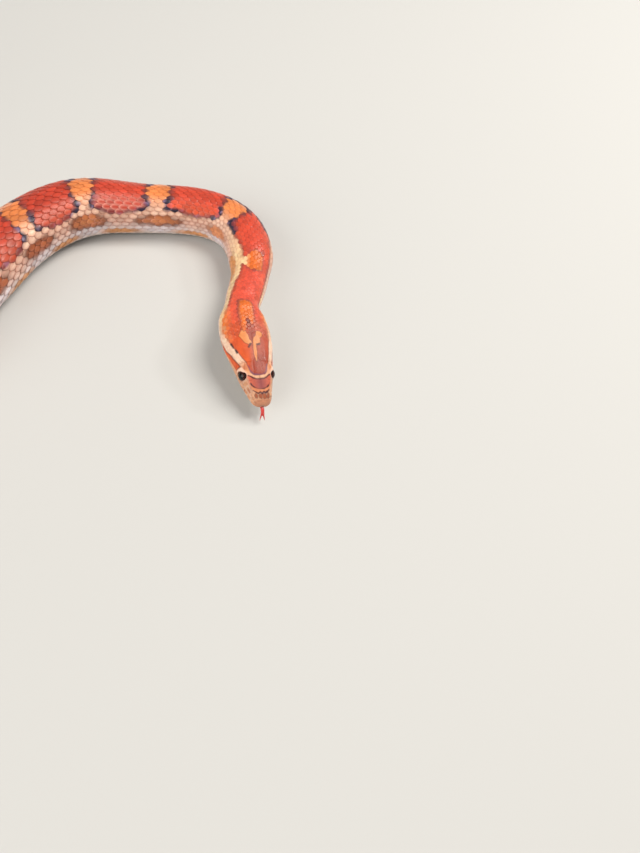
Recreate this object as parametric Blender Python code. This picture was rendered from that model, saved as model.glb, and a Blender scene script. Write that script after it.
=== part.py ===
"""A corn snake at rest on the floor, whole and at life size.

The head points at the viewer with the tongue out, the front of the body bends round to the
left, and the rest lies in loops beside it. Everything follows one course along the floor:
a distance from the snout, a distance across and a height give a place on the animal.
"""
import math

import bmesh
import bpy
import numpy as np

MM = 0.001

# Driving sizes in millimetres, distances measured along the body from the snout
HEAD_LENGTH = 31.0
VENT = 910.0
TAIL_TIP = 1080.0
SNOUT = (298.81, -50.33)
SNOUT_HEADING = 117.3
GAP = 0.3

# Lengths of the course and the turn to the left in each, walking from the snout to the tail
BENDS = (
    (28.3, 0), (12.2, -28.3), (17.3, 10.5), (17.2, 25.7), (12.2, 42.3), (15.9, 29.0),
    (24.6, 1.3), (21.9, 39.5), (23.1, 22.0), (43.2, -1.9), (122, -170), (64, 6), (116, 163),
    (62, -4), (110, -160), (58, 5), (98, 138), (40, 0), (88, -118), (50, -8), (55.3, 64),
)
EASE = 8.5
COURSE_STEP = 0.5

# Full width of the neck, body and tail
WIDTHS = (
    (34.5, 12.3), (38, 11.6), (41, 12.2), (46, 12.6), (54, 13.3), (64, 16.1), (88, 17.2),
    (112, 17.5), (143, 21.0), (168, 21.8), (188, 22.5), (215, 23.1), (300, 24.6), (420, 26.0),
    (600, 26.0), (720, 24.4), (820, 20.6), (VENT, 15.4), (940, 12.6), (1000, 8.6),
    (1050, 4.6), (TAIL_TIP, 1.2),
)
HEIGHT_RATIO = 0.88
WIDEST_RATIO = 0.41
BACK_ROUND = 2.15
BELLY_ROUND = 2.6
BELLY_FLAT = 1.02

# The length behind the head in which its height passes into the neck's
NAPE_BLEND = 10.0

# The head: from the snout, half width, widest height, crown, chin, roundness above and below
HEAD = (
    (0.0, 1.20, 2.7, 3.50, 1.90, 2.0, 2.0),
    (0.4, 2.10, 2.7, 4.10, 1.35, 2.1, 2.0),
    (1.2, 2.90, 2.7, 4.75, 0.80, 2.2, 2.1),
    (2.6, 3.60, 2.8, 5.45, 0.40, 2.3, 2.2),
    (4.6, 4.25, 3.0, 6.20, 0.15, 2.4, 2.3),
    (7.0, 5.05, 3.3, 7.10, 0.00, 2.5, 2.4),
    (9.6, 5.70, 3.6, 7.95, 0.00, 2.5, 2.5),
    (12.5, 6.25, 3.8, 8.50, 0.00, 2.4, 2.6),
    (16.0, 7.10, 4.0, 9.00, 0.00, 2.3, 2.7),
    (20.0, 8.00, 4.2, 9.55, 0.00, 2.2, 2.8),
    (24.0, 8.25, 4.4, 10.05, 0.00, 2.2, 2.9),
    (27.5, 8.05, 4.6, 10.35, 0.00, 2.2, 2.9),
    (31.0, 7.60, 4.7, 10.55, 0.00, 2.15, 2.8),
)

# Height of the chin and belly over the floor, and how far the top leans to the left side
LIFT = ((0, 2.3), (12, 4.1), (24, 5.8), (32, 6.1), (40, 4.9), (50, 3.0), (62, 1.3),
        (74, 0.35), (84, 0.0), (TAIL_TIP, 0.0))
LEAN = ((0, 9), (31, 9), (70, 0), (TAIL_TIP, 0))

# Where the head's sections are drawn, closer together on the blunt snout
SNOUT_STATIONS = np.linspace(0, 3, 7)
HEAD_STATIONS = np.arange(4.1, HEAD_LENGTH - 1, 1.2)
HEAD_ANGLES = np.arange(0, 360, 10)

# The line of the mouth, from the snout to its corner, as heights in the head
MOUTH = ((-2, 1.95), (0, 1.95), (4.5, 2.2), (9, 2.45), (15.5, 3.0), (20, 3.5), (23.5, 3.7))
JAW_SLANT = 2.6

# A cut through the head reaches past both its sides and below the chin
CUT_REACH = 12.0
CUT_DEPTH = -3.0

# Eyes, nostrils and tongue
EYE_AT = (9.5, 3.95, 5.2)
EYE_RADIUS = 2.0
NOSTRIL_AT = (2.0, 3.2, 3.9)
NOSTRIL_RADIUS = 0.5
TONGUE_WIDTH = 1.25
TONGUE_THICK = 0.56
NOTCH_DEPTH = 2.3
TONGUE_PATH = ((1.9, 0.0, 1.95), (0.0, 0.0, 1.95), (-1.2, 0.0, 1.4), (-2.1, 0.1, 0.5))
FORK_TIPS = ((-3.1, 0.9, -0.8), (-3.2, -0.6, -0.7))

# Width and thickness of each tip of the fork, as shares of the tongue's own
FORK_TIP_WIDE = 0.3
FORK_TIP_THICK = 0.7

# How far the lip hangs over the jaw, and the length in which it dies away at the corner
LIP = 0.25
LIP_END = 4.0

# The ridge over each eye and the hollow before it: how far each stands out, where its middle
# is, along the head and up, and how far it spreads both ways
BROW = 0.30
BROW_AT = (9.5, 6.9)
BROW_SPREAD = (2.6, 0.9)
LOREAL = -0.35
LOREAL_AT = (5.6, 4.4)
LOREAL_SPREAD = (2.2, 1.1)

# How the body is divided: belly scutes behind the head, plates under the tail
VENTRALS = 232
NECK_VENTRALS = 22
LENGTHS = 14
SUBCAUDALS = 66
TAIL_LENGTHS = 3

# Scutes grow with the body's width to this power
VENTRAL_POWER = 1.0
SUBCAUDAL_POWER = 0.2

# A scute rises to its flat rear part, and its free edge steps over the next one's front
SCUTE_STEP = 0.0145
SCUTE_FLAT_FROM = 0.55
BELLY_ANGLES = (-134, -103, -90, -77, -46)
BELLY_SHARE = (0.5, 1, 1, 1, 0.5)
BACK_PARTS = 12
BACK_SPACING = 0.33
LEAST_SPACING = 4.0

# Edges that turn by more than this many degrees are shaded sharp
SHARP_EDGE = 40


def smooth(stations, at, column=1):
    """A smooth curve through the stations that never overshoots them."""
    xs = np.array([row[0] for row in stations], float)
    ys = np.array([row[column] for row in stations], float)
    rise = np.diff(ys) / np.diff(xs)
    slope = np.zeros(len(xs))
    same = rise[:-1] * rise[1:] > 0
    pair = rise[:-1] + rise[1:]
    slope[1:-1][same] = 2 * (rise[:-1] * rise[1:])[same] / pair[same]
    slope[0], slope[-1] = rise[0], rise[-1]
    at = min(max(at, xs[0]), xs[-1])
    i = min(int(np.searchsorted(xs, at, side="right")) - 1, len(xs) - 2)
    h = xs[i + 1] - xs[i]
    t = (at - xs[i]) / h
    return float(
        ys[i] * (1 + 2 * t) * (1 - t) ** 2
        + slope[i] * h * t * (1 - t) ** 2
        + ys[i + 1] * t * t * (3 - 2 * t)
        + slope[i + 1] * h * t * t * (t - 1)
    )


def lay_course():
    """The line of the body on the floor: distances, x, y and heading at each step."""
    total = sum(length for length, turn in BENDS)
    count = int(round(total / COURSE_STEP))
    middles = (np.arange(count) + 0.5) * COURSE_STEP
    bend = np.zeros(count)
    start = 0.0
    for length, turn in BENDS:
        bend[(middles >= start) & (middles < start + length)] = turn / length
        start += length
    ease = np.full(round(EASE / COURSE_STEP), COURSE_STEP / EASE)
    bend = np.convolve(np.convolve(bend, ease, "same"), ease, "same")
    heading = np.radians(SNOUT_HEADING + np.concatenate([[0], np.cumsum(bend) * COURSE_STEP]))
    between = (heading[1:] + heading[:-1]) / 2
    x = SNOUT[0] + np.concatenate([[0], np.cumsum(np.cos(between)) * COURSE_STEP])
    y = SNOUT[1] + np.concatenate([[0], np.cumsum(np.sin(between)) * COURSE_STEP])
    return np.arange(count + 1) * COURSE_STEP, x, y, heading


COURSE = lay_course()


def girth(s):
    """Half width, widest height, top, bottom and the two roundnesses of the section at s."""
    if s <= HEAD_LENGTH:
        return tuple(smooth(HEAD, s, column) for column in range(1, 7))
    last = HEAD[-1]
    width = smooth(((HEAD_LENGTH, 2 * last[1]),) + WIDTHS, s)
    blend = min(1.0, (s - HEAD_LENGTH) / NAPE_BLEND)
    top = (1 - blend) * last[3] + blend * HEIGHT_RATIO * width
    middle = (1 - blend) * last[2] + blend * WIDEST_RATIO * width
    return width / 2, middle, top, 0.0, BACK_ROUND, BELLY_ROUND


def section(s, angle):
    """Across and up, at an angle that is 0 on the right side and 90 on the back."""
    half, middle, top, bottom, round_top, round_bottom = girth(s)
    c, n = math.cos(math.radians(angle)), math.sin(math.radians(angle))
    power = 2 / (round_top if n >= 0 else round_bottom)
    across = half * math.copysign(abs(c) ** power, c)
    if n >= 0:
        return across, middle + (top - middle) * n ** power
    depth = (middle - bottom) * BELLY_FLAT * abs(n) ** power
    return across, max(middle - depth, bottom)


def place(s, across, up):
    """The point in the part's frame, in metres."""
    distances, x, y, heading = COURSE
    inside = min(max(s, 0.0), TAIL_TIP)
    turn = float(np.interp(inside, distances, heading))
    beyond = s - inside
    px = float(np.interp(inside, distances, x)) + beyond * math.cos(turn)
    py = float(np.interp(inside, distances, y)) + beyond * math.sin(turn)
    half, middle, top, bottom, round_top, round_bottom = girth(inside)
    lean = math.radians(smooth(LEAN, inside))
    pivot = (top + bottom) / 2
    side = across * math.cos(lean) - (up - pivot) * math.sin(lean)
    rise = pivot + across * math.sin(lean) + (up - pivot) * math.cos(lean)
    height = rise + smooth(LIFT, inside)
    return (
        (px - math.sin(turn) * side) * MM,
        (py + math.cos(turn) * side) * MM,
        height * MM,
    )


def finish(name, bm, material):
    """Turn a bmesh into the named object, its faces in threes and pointing out."""
    bmesh.ops.triangulate(bm, faces=bm.faces[:])
    bmesh.ops.recalc_face_normals(bm, faces=bm.faces[:])
    mesh = bpy.data.meshes.new(name)
    bm.to_mesh(mesh)
    bm.free()
    mesh.shade_smooth()
    mesh.set_sharp_from_angle(angle=math.radians(SHARP_EDGE))
    thing = bpy.data.objects.new(name, mesh)
    bpy.context.scene.collection.objects.link(thing)
    mesh.materials.append(material)
    return thing


def skin_of(name, colour, roughness):
    """A plain surface in the colour that the piece shows most."""
    material = bpy.data.materials.new(name)
    material.use_nodes = True
    shader = material.node_tree.nodes["Principled BSDF"]
    shader.inputs["Base Color"].default_value = (*colour, 1)
    shader.inputs["Roughness"].default_value = roughness
    shader.inputs["Metallic"].default_value = 0.0
    return material


def loft(rings):
    """A closed surface through rings of points, with a flat face at each end."""
    bm = bmesh.new()
    rows = [[bm.verts.new(point) for point in ring] for ring in rings]
    count = len(rows[0])
    for near, far in zip(rows, rows[1:]):
        for i in range(count):
            j = (i + 1) % count
            bm.faces.new((near[i], near[j], far[j], far[i]))
    bm.faces.new(rows[0])
    bm.faces.new(rows[-1])
    return bm


def cut(target, cutters):
    """Take the cutters out of the target for good."""
    for cutter in cutters:
        step = target.modifiers.new("cut", "BOOLEAN")
        step.operation = "DIFFERENCE"
        step.solver = "EXACT"
        step.object = cutter
    bpy.context.view_layer.update()
    seen = target.evaluated_get(bpy.context.evaluated_depsgraph_get())
    mesh = bpy.data.meshes.new_from_object(seen)
    target.modifiers.clear()
    target.data = mesh
    for cutter in cutters:
        bpy.data.objects.remove(cutter)


def pieces_of(target):
    """The closed surfaces in a mesh, as sets of face indexes, largest box first."""
    bm = bmesh.new()
    bm.from_mesh(target.data)
    left = set(bm.faces)
    found = []
    while left:
        seed = left.pop()
        group, front = {seed}, [seed]
        while front:
            face = front.pop()
            for edge in face.edges:
                for other in edge.link_faces:
                    if other in left:
                        left.remove(other)
                        group.add(other)
                        front.append(other)
        corners = np.array([vert.co[:] for face in group for vert in face.verts])
        size = float(np.prod(corners.max(0) - corners.min(0)))
        found.append((size, {face.index for face in group}))
    bm.free()
    found.sort(key=lambda item: -item[0])
    return [faces for size, faces in found]


def keep_faces(target, kept):
    """Drop every face that is not in the kept set."""
    bm = bmesh.new()
    bm.from_mesh(target.data)
    gone = [face for face in bm.faces if face.index not in kept]
    bmesh.ops.delete(bm, geom=gone, context="FACES")
    bm.to_mesh(target.data)
    bm.free()


def ball(centre, radius, segments=20, rings=12):
    """A round cutter or eye at a place on the head."""
    bm = bmesh.new()
    bmesh.ops.create_uvsphere(bm, u_segments=segments, v_segments=rings, radius=radius * MM)
    bmesh.ops.translate(bm, vec=place(*centre), verts=bm.verts[:])
    return bm


def block(near, far, half, low, high):
    """A straight-sided cutter in the head between two distances from the snout."""
    rings = []
    for s in (near, far):
        corners = ((-half, low), (half, low), (half, high), (-half, high))
        rings.append([place(s, across, up) for across, up in corners])
    return loft(rings)


def mouth_cutter(material):
    """A thin slab along the mouth that turns down behind the jaw."""
    line = [(s, smooth(MOUTH, s)) for s in np.linspace(-2, MOUTH[-1][0], 15)]
    corner_s, corner_up = line[-1]
    upper = [(s, up + GAP / 2) for s, up in line] + [(corner_s + JAW_SLANT, CUT_DEPTH)]
    lower = [(s, up - GAP / 2) for s, up in line] + [(corner_s + JAW_SLANT - GAP, CUT_DEPTH)]
    lower[-2] = (corner_s - GAP, corner_up - GAP / 2)
    outline = upper + lower[::-1]
    rings = [[place(s, side, up) for s, up in outline] for side in (-CUT_REACH, CUT_REACH)]
    return finish("mouth_cutter", loft(rings), material)


def swell(s, up, middle, spread):
    """1 at the middle of a soft swelling on the head, and near 0 past its spread."""
    return math.exp(-((s - middle[0]) / spread[0]) ** 2 - ((up - middle[1]) / spread[1]) ** 2)


def head_section(s, angle):
    """The section with the lip, the ridge over the eye and the hollow before it."""
    across, up = section(s, angle)
    out = -LIP * min(1.0, max(0.0, (smooth(MOUTH, s) - up) / GAP + 0.5))
    out *= min(1.0, max(0.0, (MOUTH[-1][0] + LIP_END / 2 - s) / LIP_END))
    out += BROW * swell(s, up, BROW_AT, BROW_SPREAD)
    out += LOREAL * swell(s, up, LOREAL_AT, LOREAL_SPREAD)
    side = math.cos(math.radians(angle))
    return across + out * math.copysign(min(1.0, abs(side) * 2), side), up


def make_head(materials):
    """The head and the lower jaw: one loft, parted by the line of the mouth."""
    distances = [*SNOUT_STATIONS, *HEAD_STATIONS, HEAD_LENGTH - GAP / 2]
    rings = [[place(s, *head_section(s, angle)) for angle in HEAD_ANGLES] for s in distances]
    head = finish("head", loft(rings), materials["head"])

    cutters = [mouth_cutter(materials["head"])]
    notch_half = TONGUE_WIDTH / 2 + GAP
    notch_rise = TONGUE_THICK / 2 + GAP
    level = TONGUE_PATH[0][2]
    notch = block(-2, NOTCH_DEPTH, notch_half, level - notch_rise, level + notch_rise)
    cutters.append(finish("tongue_notch", notch, materials["head"]))
    for side in (1, -1):
        at, across, up = EYE_AT
        socket = ball((at, side * across, up), EYE_RADIUS + GAP)
        cutters.append(finish("socket", socket, materials["head"]))
        at, across, up = NOSTRIL_AT
        nostril = ball((at, side * across, up), NOSTRIL_RADIUS, segments=8, rings=6)
        cutters.append(finish("nostril", nostril, materials["head"]))
    cut(head, cutters)

    parts = pieces_of(head)
    jaw = head.copy()
    jaw.data = head.data.copy()
    jaw.name = "lower_jaw"
    jaw.data.name = "lower_jaw"
    bpy.context.scene.collection.objects.link(jaw)
    keep_faces(head, parts[0])
    keep_faces(jaw, parts[1])
    jaw.data.materials.clear()
    jaw.data.materials.append(materials["belly"])


def make_eyes(materials):
    """Two round eyes in their sockets."""
    at, across, up = EYE_AT
    for name, side in (("eye_right", 1), ("eye_left", -1)):
        eye = ball((at, side * across, up), EYE_RADIUS, segments=16, rings=10)
        finish(name, eye, materials["eye"])


def make_tongue(materials):
    """A flat forked tongue, out through the notch in the lip and bent down."""
    half, thick = TONGUE_WIDTH / 2, TONGUE_THICK / 2
    corners = ((-1, -1), (0, -1), (1, -1), (1, 1), (0, 1), (-1, 1))
    bm = bmesh.new()
    rows = [
        [bm.verts.new(place(s, across + half * a, up + thick * b)) for a, b in corners]
        for s, across, up in TONGUE_PATH
    ]
    for near, far in zip(rows, rows[1:]):
        for i in range(6):
            j = (i + 1) % 6
            bm.faces.new((near[i], near[j], far[j], far[i]))
    bm.faces.new(rows[0])
    last = rows[-1]
    sides = ((1, 2, 3, 4), (0, 1, 4, 5))
    for picks, (s, across, up) in zip(sides, FORK_TIPS):
        root = [last[i] for i in picks]
        tip_half, tip_thick = half * FORK_TIP_WIDE, thick * FORK_TIP_THICK
        tip_corners = ((-1, -1), (1, -1), (1, 1), (-1, 1))
        tip = [bm.verts.new(place(s, across + tip_half * a, up + tip_thick * b))
               for a, b in tip_corners]
        for i in range(4):
            j = (i + 1) % 4
            bm.faces.new((root[i], root[j], tip[j], tip[i]))
        bm.faces.new(tip)
    finish("tongue", bm, materials["tongue"])


def scute_edges(start, end, count, power):
    """Where the scutes meet: closer together where the body is thinner, by the power."""
    fine = np.linspace(start, end, 600)
    widths = np.array([girth(s)[0] for s in fine])
    density = widths ** -power
    passed = np.concatenate([[0], np.cumsum((density[1:] + density[:-1]) / 2)])
    return np.interp(np.arange(count + 1) / count, passed / passed[-1], fine)


def scute_rows(edges):
    """Distances across the scutes, with how far each row is drawn up into the belly."""
    rows = []
    for front, rear in zip(edges, edges[1:]):
        rows.append((front + GAP / 2, 1.0))
        rows.append((front + SCUTE_FLAT_FROM * (rear - front), 0.0))
        rows.append((rear - GAP / 2, 0.0))
    return rows


def belly_row(bm, s, drawn):
    """The points across the belly at one distance."""
    step = SCUTE_STEP * 2 * girth(s)[0] * drawn
    row = []
    for angle, share in zip(BELLY_ANGLES, BELLY_SHARE):
        across, up = section(s, angle)
        row.append(bm.verts.new(place(s, across, up + step * share)))
    return row


def lace(bm, edge, edge_at, side, side_at):
    """Close the strip between two lines of points that are spaced differently."""
    i = j = 0
    while i < len(edge) - 1 or j < len(side) - 1:
        along_edge = j == len(side) - 1
        if i < len(edge) - 1 and not along_edge:
            along_edge = edge_at[i + 1] <= side_at[j + 1]
        if along_edge:
            bm.faces.new((edge[i], edge[i + 1], side[j]))
            i += 1
        else:
            bm.faces.new((edge[i], side[j + 1], side[j]))
            j += 1


def make_length(name, edges, material):
    """One length of the body: a smooth back, and a belly of overlapping scutes."""
    bm = bmesh.new()
    rows = scute_rows(edges)
    row_at = [s for s, drawn in rows]
    belly = [belly_row(bm, s, drawn) for s, drawn in rows]

    width = 2 * girth((row_at[0] + row_at[-1]) / 2)[0]
    spacing = max(LEAST_SPACING, BACK_SPACING * width)
    parts = round((row_at[-1] - row_at[0]) / spacing)
    back_at = list(np.linspace(row_at[0], row_at[-1], parts + 1))
    first, last = BELLY_ANGLES[-1], BELLY_ANGLES[0] + 360
    angles = np.linspace(first, last, BACK_PARTS + 1)[1:-1]
    back = [[bm.verts.new(place(s, *section(s, a))) for a in angles] for s in back_at]

    for grid in (belly, back):
        for near, far in zip(grid, grid[1:]):
            for i in range(len(near) - 1):
                bm.faces.new((near[i], near[i + 1], far[i + 1], far[i]))
    lace(bm, [row[-1] for row in belly], row_at, [ring[0] for ring in back], back_at)
    lace(bm, [row[0] for row in belly], row_at, [ring[-1] for ring in back], back_at)
    bm.faces.new(belly[0] + back[0])
    bm.faces.new(belly[-1] + back[-1])
    finish(name, bm, material)


def build():
    for thing in list(bpy.data.objects):
        bpy.data.objects.remove(thing)
    materials = {
        "head": skin_of("head_shields", (0.55, 0.20, 0.11), 0.35),
        "belly": skin_of("belly_plates", (0.80, 0.74, 0.66), 0.4),
        "body": skin_of("body_scales", (0.62, 0.24, 0.13), 0.4),
        "eye": skin_of("eye", (0.02, 0.015, 0.012), 0.08),
        "tongue": skin_of("tongue", (0.45, 0.04, 0.03), 0.45),
    }
    make_head(materials)
    make_eyes(materials)
    make_tongue(materials)

    edges = scute_edges(HEAD_LENGTH, VENT, VENTRALS, VENTRAL_POWER)
    make_length("neck", edges[:NECK_VENTRALS + 1], materials["body"])
    each = (VENTRALS - NECK_VENTRALS) // LENGTHS
    for i in range(LENGTHS):
        first = NECK_VENTRALS + i * each
        make_length(f"body_{i + 1}", edges[first:first + each + 1], materials["body"])

    edges = scute_edges(VENT, TAIL_TIP, SUBCAUDALS, SUBCAUDAL_POWER)
    each = SUBCAUDALS // TAIL_LENGTHS
    for i in range(TAIL_LENGTHS):
        first = i * each
        make_length(f"tail_{i + 1}", edges[first:first + each + 1], materials["body"])


build()
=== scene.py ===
"""The looks of a live corn snake lying in loops on the floor, its tongue out."""

import math

import bpy
import numpy as np
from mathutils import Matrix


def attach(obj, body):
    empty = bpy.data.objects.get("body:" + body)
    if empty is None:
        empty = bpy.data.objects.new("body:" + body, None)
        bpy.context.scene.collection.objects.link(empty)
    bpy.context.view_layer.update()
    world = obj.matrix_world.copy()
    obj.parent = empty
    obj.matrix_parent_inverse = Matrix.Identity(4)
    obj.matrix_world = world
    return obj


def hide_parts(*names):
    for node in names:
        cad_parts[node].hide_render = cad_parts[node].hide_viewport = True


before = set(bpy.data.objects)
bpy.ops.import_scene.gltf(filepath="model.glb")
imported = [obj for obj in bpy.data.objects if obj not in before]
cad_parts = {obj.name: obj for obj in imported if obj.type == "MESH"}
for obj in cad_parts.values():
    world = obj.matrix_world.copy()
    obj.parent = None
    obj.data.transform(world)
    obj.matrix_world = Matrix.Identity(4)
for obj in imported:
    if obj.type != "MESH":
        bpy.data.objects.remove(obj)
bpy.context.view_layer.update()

# The lie of the animal
#
# A corn snake 1.08 m long rests on its belly. One course on the floor runs from the snout to
# the tail tip, and a distance along it and a distance round the body from the middle of the
# back give a place on the skin. Sizes are in millimetres.
MM = 0.001
HEAD_LENGTH = 31.0
VENT = 910.0
TAIL_TIP = 1080.0
SNOUT = (298.81, -50.33)
SNOUT_HEADING = 117.3

# Lengths of the course and the turn to the left in each
BENDS = (
    (28.3, 0), (12.2, -28.3), (17.3, 10.5), (17.2, 25.7), (12.2, 42.3), (15.9, 29.0),
    (24.6, 1.3), (21.9, 39.5), (23.1, 22.0), (43.2, -1.9), (122, -170), (64, 6), (116, 163),
    (62, -4), (110, -160), (58, 5), (98, 138), (40, 0), (88, -118), (50, -8), (55.3, 64),
)
EASE = 8.5
COURSE_STEP = 0.5

# Full width of the neck, body and tail
WIDTHS = (
    (34.5, 12.3), (38, 11.6), (41, 12.2), (46, 12.6), (54, 13.3), (64, 16.1), (88, 17.2),
    (112, 17.5), (143, 21.0), (168, 21.8), (188, 22.5), (215, 23.1), (300, 24.6), (420, 26.0),
    (600, 26.0), (720, 24.4), (820, 20.6), (VENT, 15.4), (940, 12.6), (1000, 8.6),
    (1050, 4.6), (TAIL_TIP, 1.2),
)
HEIGHT_RATIO = 0.88
WIDEST_RATIO = 0.41
BACK_ROUND = 2.15
BELLY_ROUND = 2.6
BELLY_FLAT = 1.02

# The head: from the snout, half width, widest height, crown, chin, roundness above and below
HEAD = (
    (0.0, 1.20, 2.7, 3.50, 1.90, 2.0, 2.0),
    (0.4, 2.10, 2.7, 4.10, 1.35, 2.1, 2.0),
    (1.2, 2.90, 2.7, 4.75, 0.80, 2.2, 2.1),
    (2.6, 3.60, 2.8, 5.45, 0.40, 2.3, 2.2),
    (4.6, 4.25, 3.0, 6.20, 0.15, 2.4, 2.3),
    (7.0, 5.05, 3.3, 7.10, 0.00, 2.5, 2.4),
    (9.6, 5.70, 3.6, 7.95, 0.00, 2.5, 2.5),
    (12.5, 6.25, 3.8, 8.50, 0.00, 2.4, 2.6),
    (16.0, 7.10, 4.0, 9.00, 0.00, 2.3, 2.7),
    (20.0, 8.00, 4.2, 9.55, 0.00, 2.2, 2.8),
    (24.0, 8.25, 4.4, 10.05, 0.00, 2.2, 2.9),
    (27.5, 8.05, 4.6, 10.35, 0.00, 2.2, 2.9),
    (31.0, 7.60, 4.7, 10.55, 0.00, 2.15, 2.8),
)

# Height of the chin and belly over the floor, and the lean of the top to the left side
LIFT = ((0, 2.3), (12, 4.1), (24, 5.8), (32, 6.1), (40, 4.9), (50, 3.0), (62, 1.3),
        (74, 0.35), (84, 0.0), (TAIL_TIP, 0.0))
LEAN = ((0, 9), (31, 9), (70, 0), (TAIL_TIP, 0))

# The length behind the head in which its height passes into the neck's
NAPE_BLEND = 10.0

# Eyes, nostrils and the line of the mouth as they stand in the head
EYE_AT = (9.5, 3.95, 5.2)
EYE_RADIUS = 2.0
NOSTRIL_AT = (2.0, 3.2, 3.9)
MOUTH = ((-2, 1.95), (0, 1.95), (4.5, 2.2), (9, 2.45), (15.5, 3.0), (20, 3.5), (23.5, 3.7))


def smooth(stations, at, column=1):
    """A smooth curve through the stations that never overshoots them."""
    xs = np.array([row[0] for row in stations], float)
    ys = np.array([row[column] for row in stations], float)
    rise = np.diff(ys) / np.diff(xs)
    slope = np.zeros(len(xs))
    same = rise[:-1] * rise[1:] > 0
    pair = rise[:-1] + rise[1:]
    slope[1:-1][same] = 2 * (rise[:-1] * rise[1:])[same] / pair[same]
    slope[0], slope[-1] = rise[0], rise[-1]
    at = np.clip(at, xs[0], xs[-1])
    i = np.clip(np.searchsorted(xs, at, side="right") - 1, 0, len(xs) - 2)
    h = xs[i + 1] - xs[i]
    t = (at - xs[i]) / h
    return (
        ys[i] * (1 + 2 * t) * (1 - t) ** 2
        + slope[i] * h * t * (1 - t) ** 2
        + ys[i + 1] * t * t * (3 - 2 * t)
        + slope[i + 1] * h * t * t * (t - 1)
    )


def lay_course():
    """The line of the body on the floor: distances, x, y and heading at each step."""
    total = sum(length for length, turn in BENDS)
    count = int(round(total / COURSE_STEP))
    middles = (np.arange(count) + 0.5) * COURSE_STEP
    bend = np.zeros(count)
    start = 0.0
    for length, turn in BENDS:
        bend[(middles >= start) & (middles < start + length)] = turn / length
        start += length
    ease = np.full(round(EASE / COURSE_STEP), COURSE_STEP / EASE)
    bend = np.convolve(np.convolve(bend, ease, "same"), ease, "same")
    heading = np.radians(SNOUT_HEADING + np.concatenate([[0], np.cumsum(bend) * COURSE_STEP]))
    between = (heading[1:] + heading[:-1]) / 2
    x = SNOUT[0] + np.concatenate([[0], np.cumsum(np.cos(between)) * COURSE_STEP])
    y = SNOUT[1] + np.concatenate([[0], np.cumsum(np.sin(between)) * COURSE_STEP])
    return np.arange(count + 1) * COURSE_STEP, x, y, heading


COURSE = lay_course()


def girth(s):
    """Half width, widest height, top, bottom and the two roundnesses of each section."""
    head = [smooth(HEAD, s, column) for column in range(1, 7)]
    last = HEAD[-1]
    width = smooth(((HEAD_LENGTH, 2 * last[1]),) + WIDTHS, s)
    blend = np.clip((s - HEAD_LENGTH) / NAPE_BLEND, 0, 1)
    top = (1 - blend) * last[3] + blend * HEIGHT_RATIO * width
    middle = (1 - blend) * last[2] + blend * WIDEST_RATIO * width
    body = (width / 2, middle, top, 0 * width, BACK_ROUND + 0 * width, BELLY_ROUND + 0 * width)
    return [np.where(s <= HEAD_LENGTH, h, b) for h, b in zip(head, body)]


def section(s, angle):
    """Across and up, at an angle that is 0 on the right side and 90 on the back."""
    half, middle, top, bottom, round_top, round_bottom = girth(s)
    c, n = np.cos(np.radians(angle)), np.sin(np.radians(angle))
    power = 2 / np.where(n >= 0, round_top, round_bottom)
    across = half * np.sign(c) * np.abs(c) ** power
    over = middle + (top - middle) * np.abs(n) ** power
    under = np.maximum(middle - (middle - bottom) * BELLY_FLAT * np.abs(n) ** power, bottom)
    return across, np.where(n >= 0, over, under)


def place(s, across, up):
    """Points in millimetres, from a distance from the snout, across to the right and up."""
    distances, x, y, heading = COURSE
    inside = np.clip(s, 0.0, TAIL_TIP)
    turn = np.interp(inside, distances, heading)
    px = np.interp(inside, distances, x) + (s - inside) * np.cos(turn)
    py = np.interp(inside, distances, y) + (s - inside) * np.sin(turn)
    half, middle, top, bottom, round_top, round_bottom = girth(inside)
    lean = np.radians(smooth(LEAN, inside))
    pivot = (top + bottom) / 2
    side = across * np.cos(lean) - (up - pivot) * np.sin(lean)
    rise = pivot + across * np.sin(lean) + (up - pivot) * np.cos(lean)
    height = rise + smooth(LIFT, inside)
    return np.stack([px - np.sin(turn) * side, py + np.cos(turn) * side, height], -1)


# The skin as a net: stations along the body, and even shares of the way round from the
# middle of the back (0) over the right side to the middle of the belly (1), left side below 0
STATIONS = np.concatenate([
    np.arange(0, 4, 0.1), np.arange(4, 36, 0.25), np.arange(36, TAIL_TIP + 0.1, 0.5),
])
SHARES = np.linspace(-1, 1, 193)
BELLY_EDGE_ANGLE = -46


def lay_net():
    """Points and normals of the net, half way round, and the way to the belly's edge."""
    angles = np.linspace(90, -90, 241)
    across, up = section(STATIONS[:, None], angles[None, :])
    steps = np.hypot(np.diff(across, axis=1), np.diff(up, axis=1))
    run = np.concatenate([np.zeros((len(STATIONS), 1)), np.cumsum(steps, axis=1)], axis=1)
    half_round = run[:, -1]
    edge = run[:, int(np.argmin(abs(angles - BELLY_EDGE_ANGLE)))]
    sides = []
    for values in (across, up):
        rows = [
            np.interp(np.abs(SHARES) * half_round[i], run[i], values[i])
            for i in range(len(STATIONS))
        ]
        sides.append(np.array(rows))
    net_across = sides[0] * np.sign(SHARES)
    points = place(STATIONS[:, None] + 0 * net_across, net_across, sides[1])
    along = np.gradient(points, axis=0)
    around = np.gradient(points, axis=1)
    normals = np.cross(along, around)
    normals /= np.linalg.norm(normals, axis=2, keepdims=True) + 1e-9
    if normals[len(STATIONS) // 2, len(SHARES) // 2, 2] < 0:
        normals = -normals
    return points, normals, half_round, edge, sides[1]


NET_POINTS, NET_NORMALS, NET_HALF_ROUND, NET_EDGE, NET_UP = lay_net()


def half_round(s):
    return np.interp(s, STATIONS, NET_HALF_ROUND)


def belly_edge(s):
    return np.interp(s, STATIONS, NET_EDGE)


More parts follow.
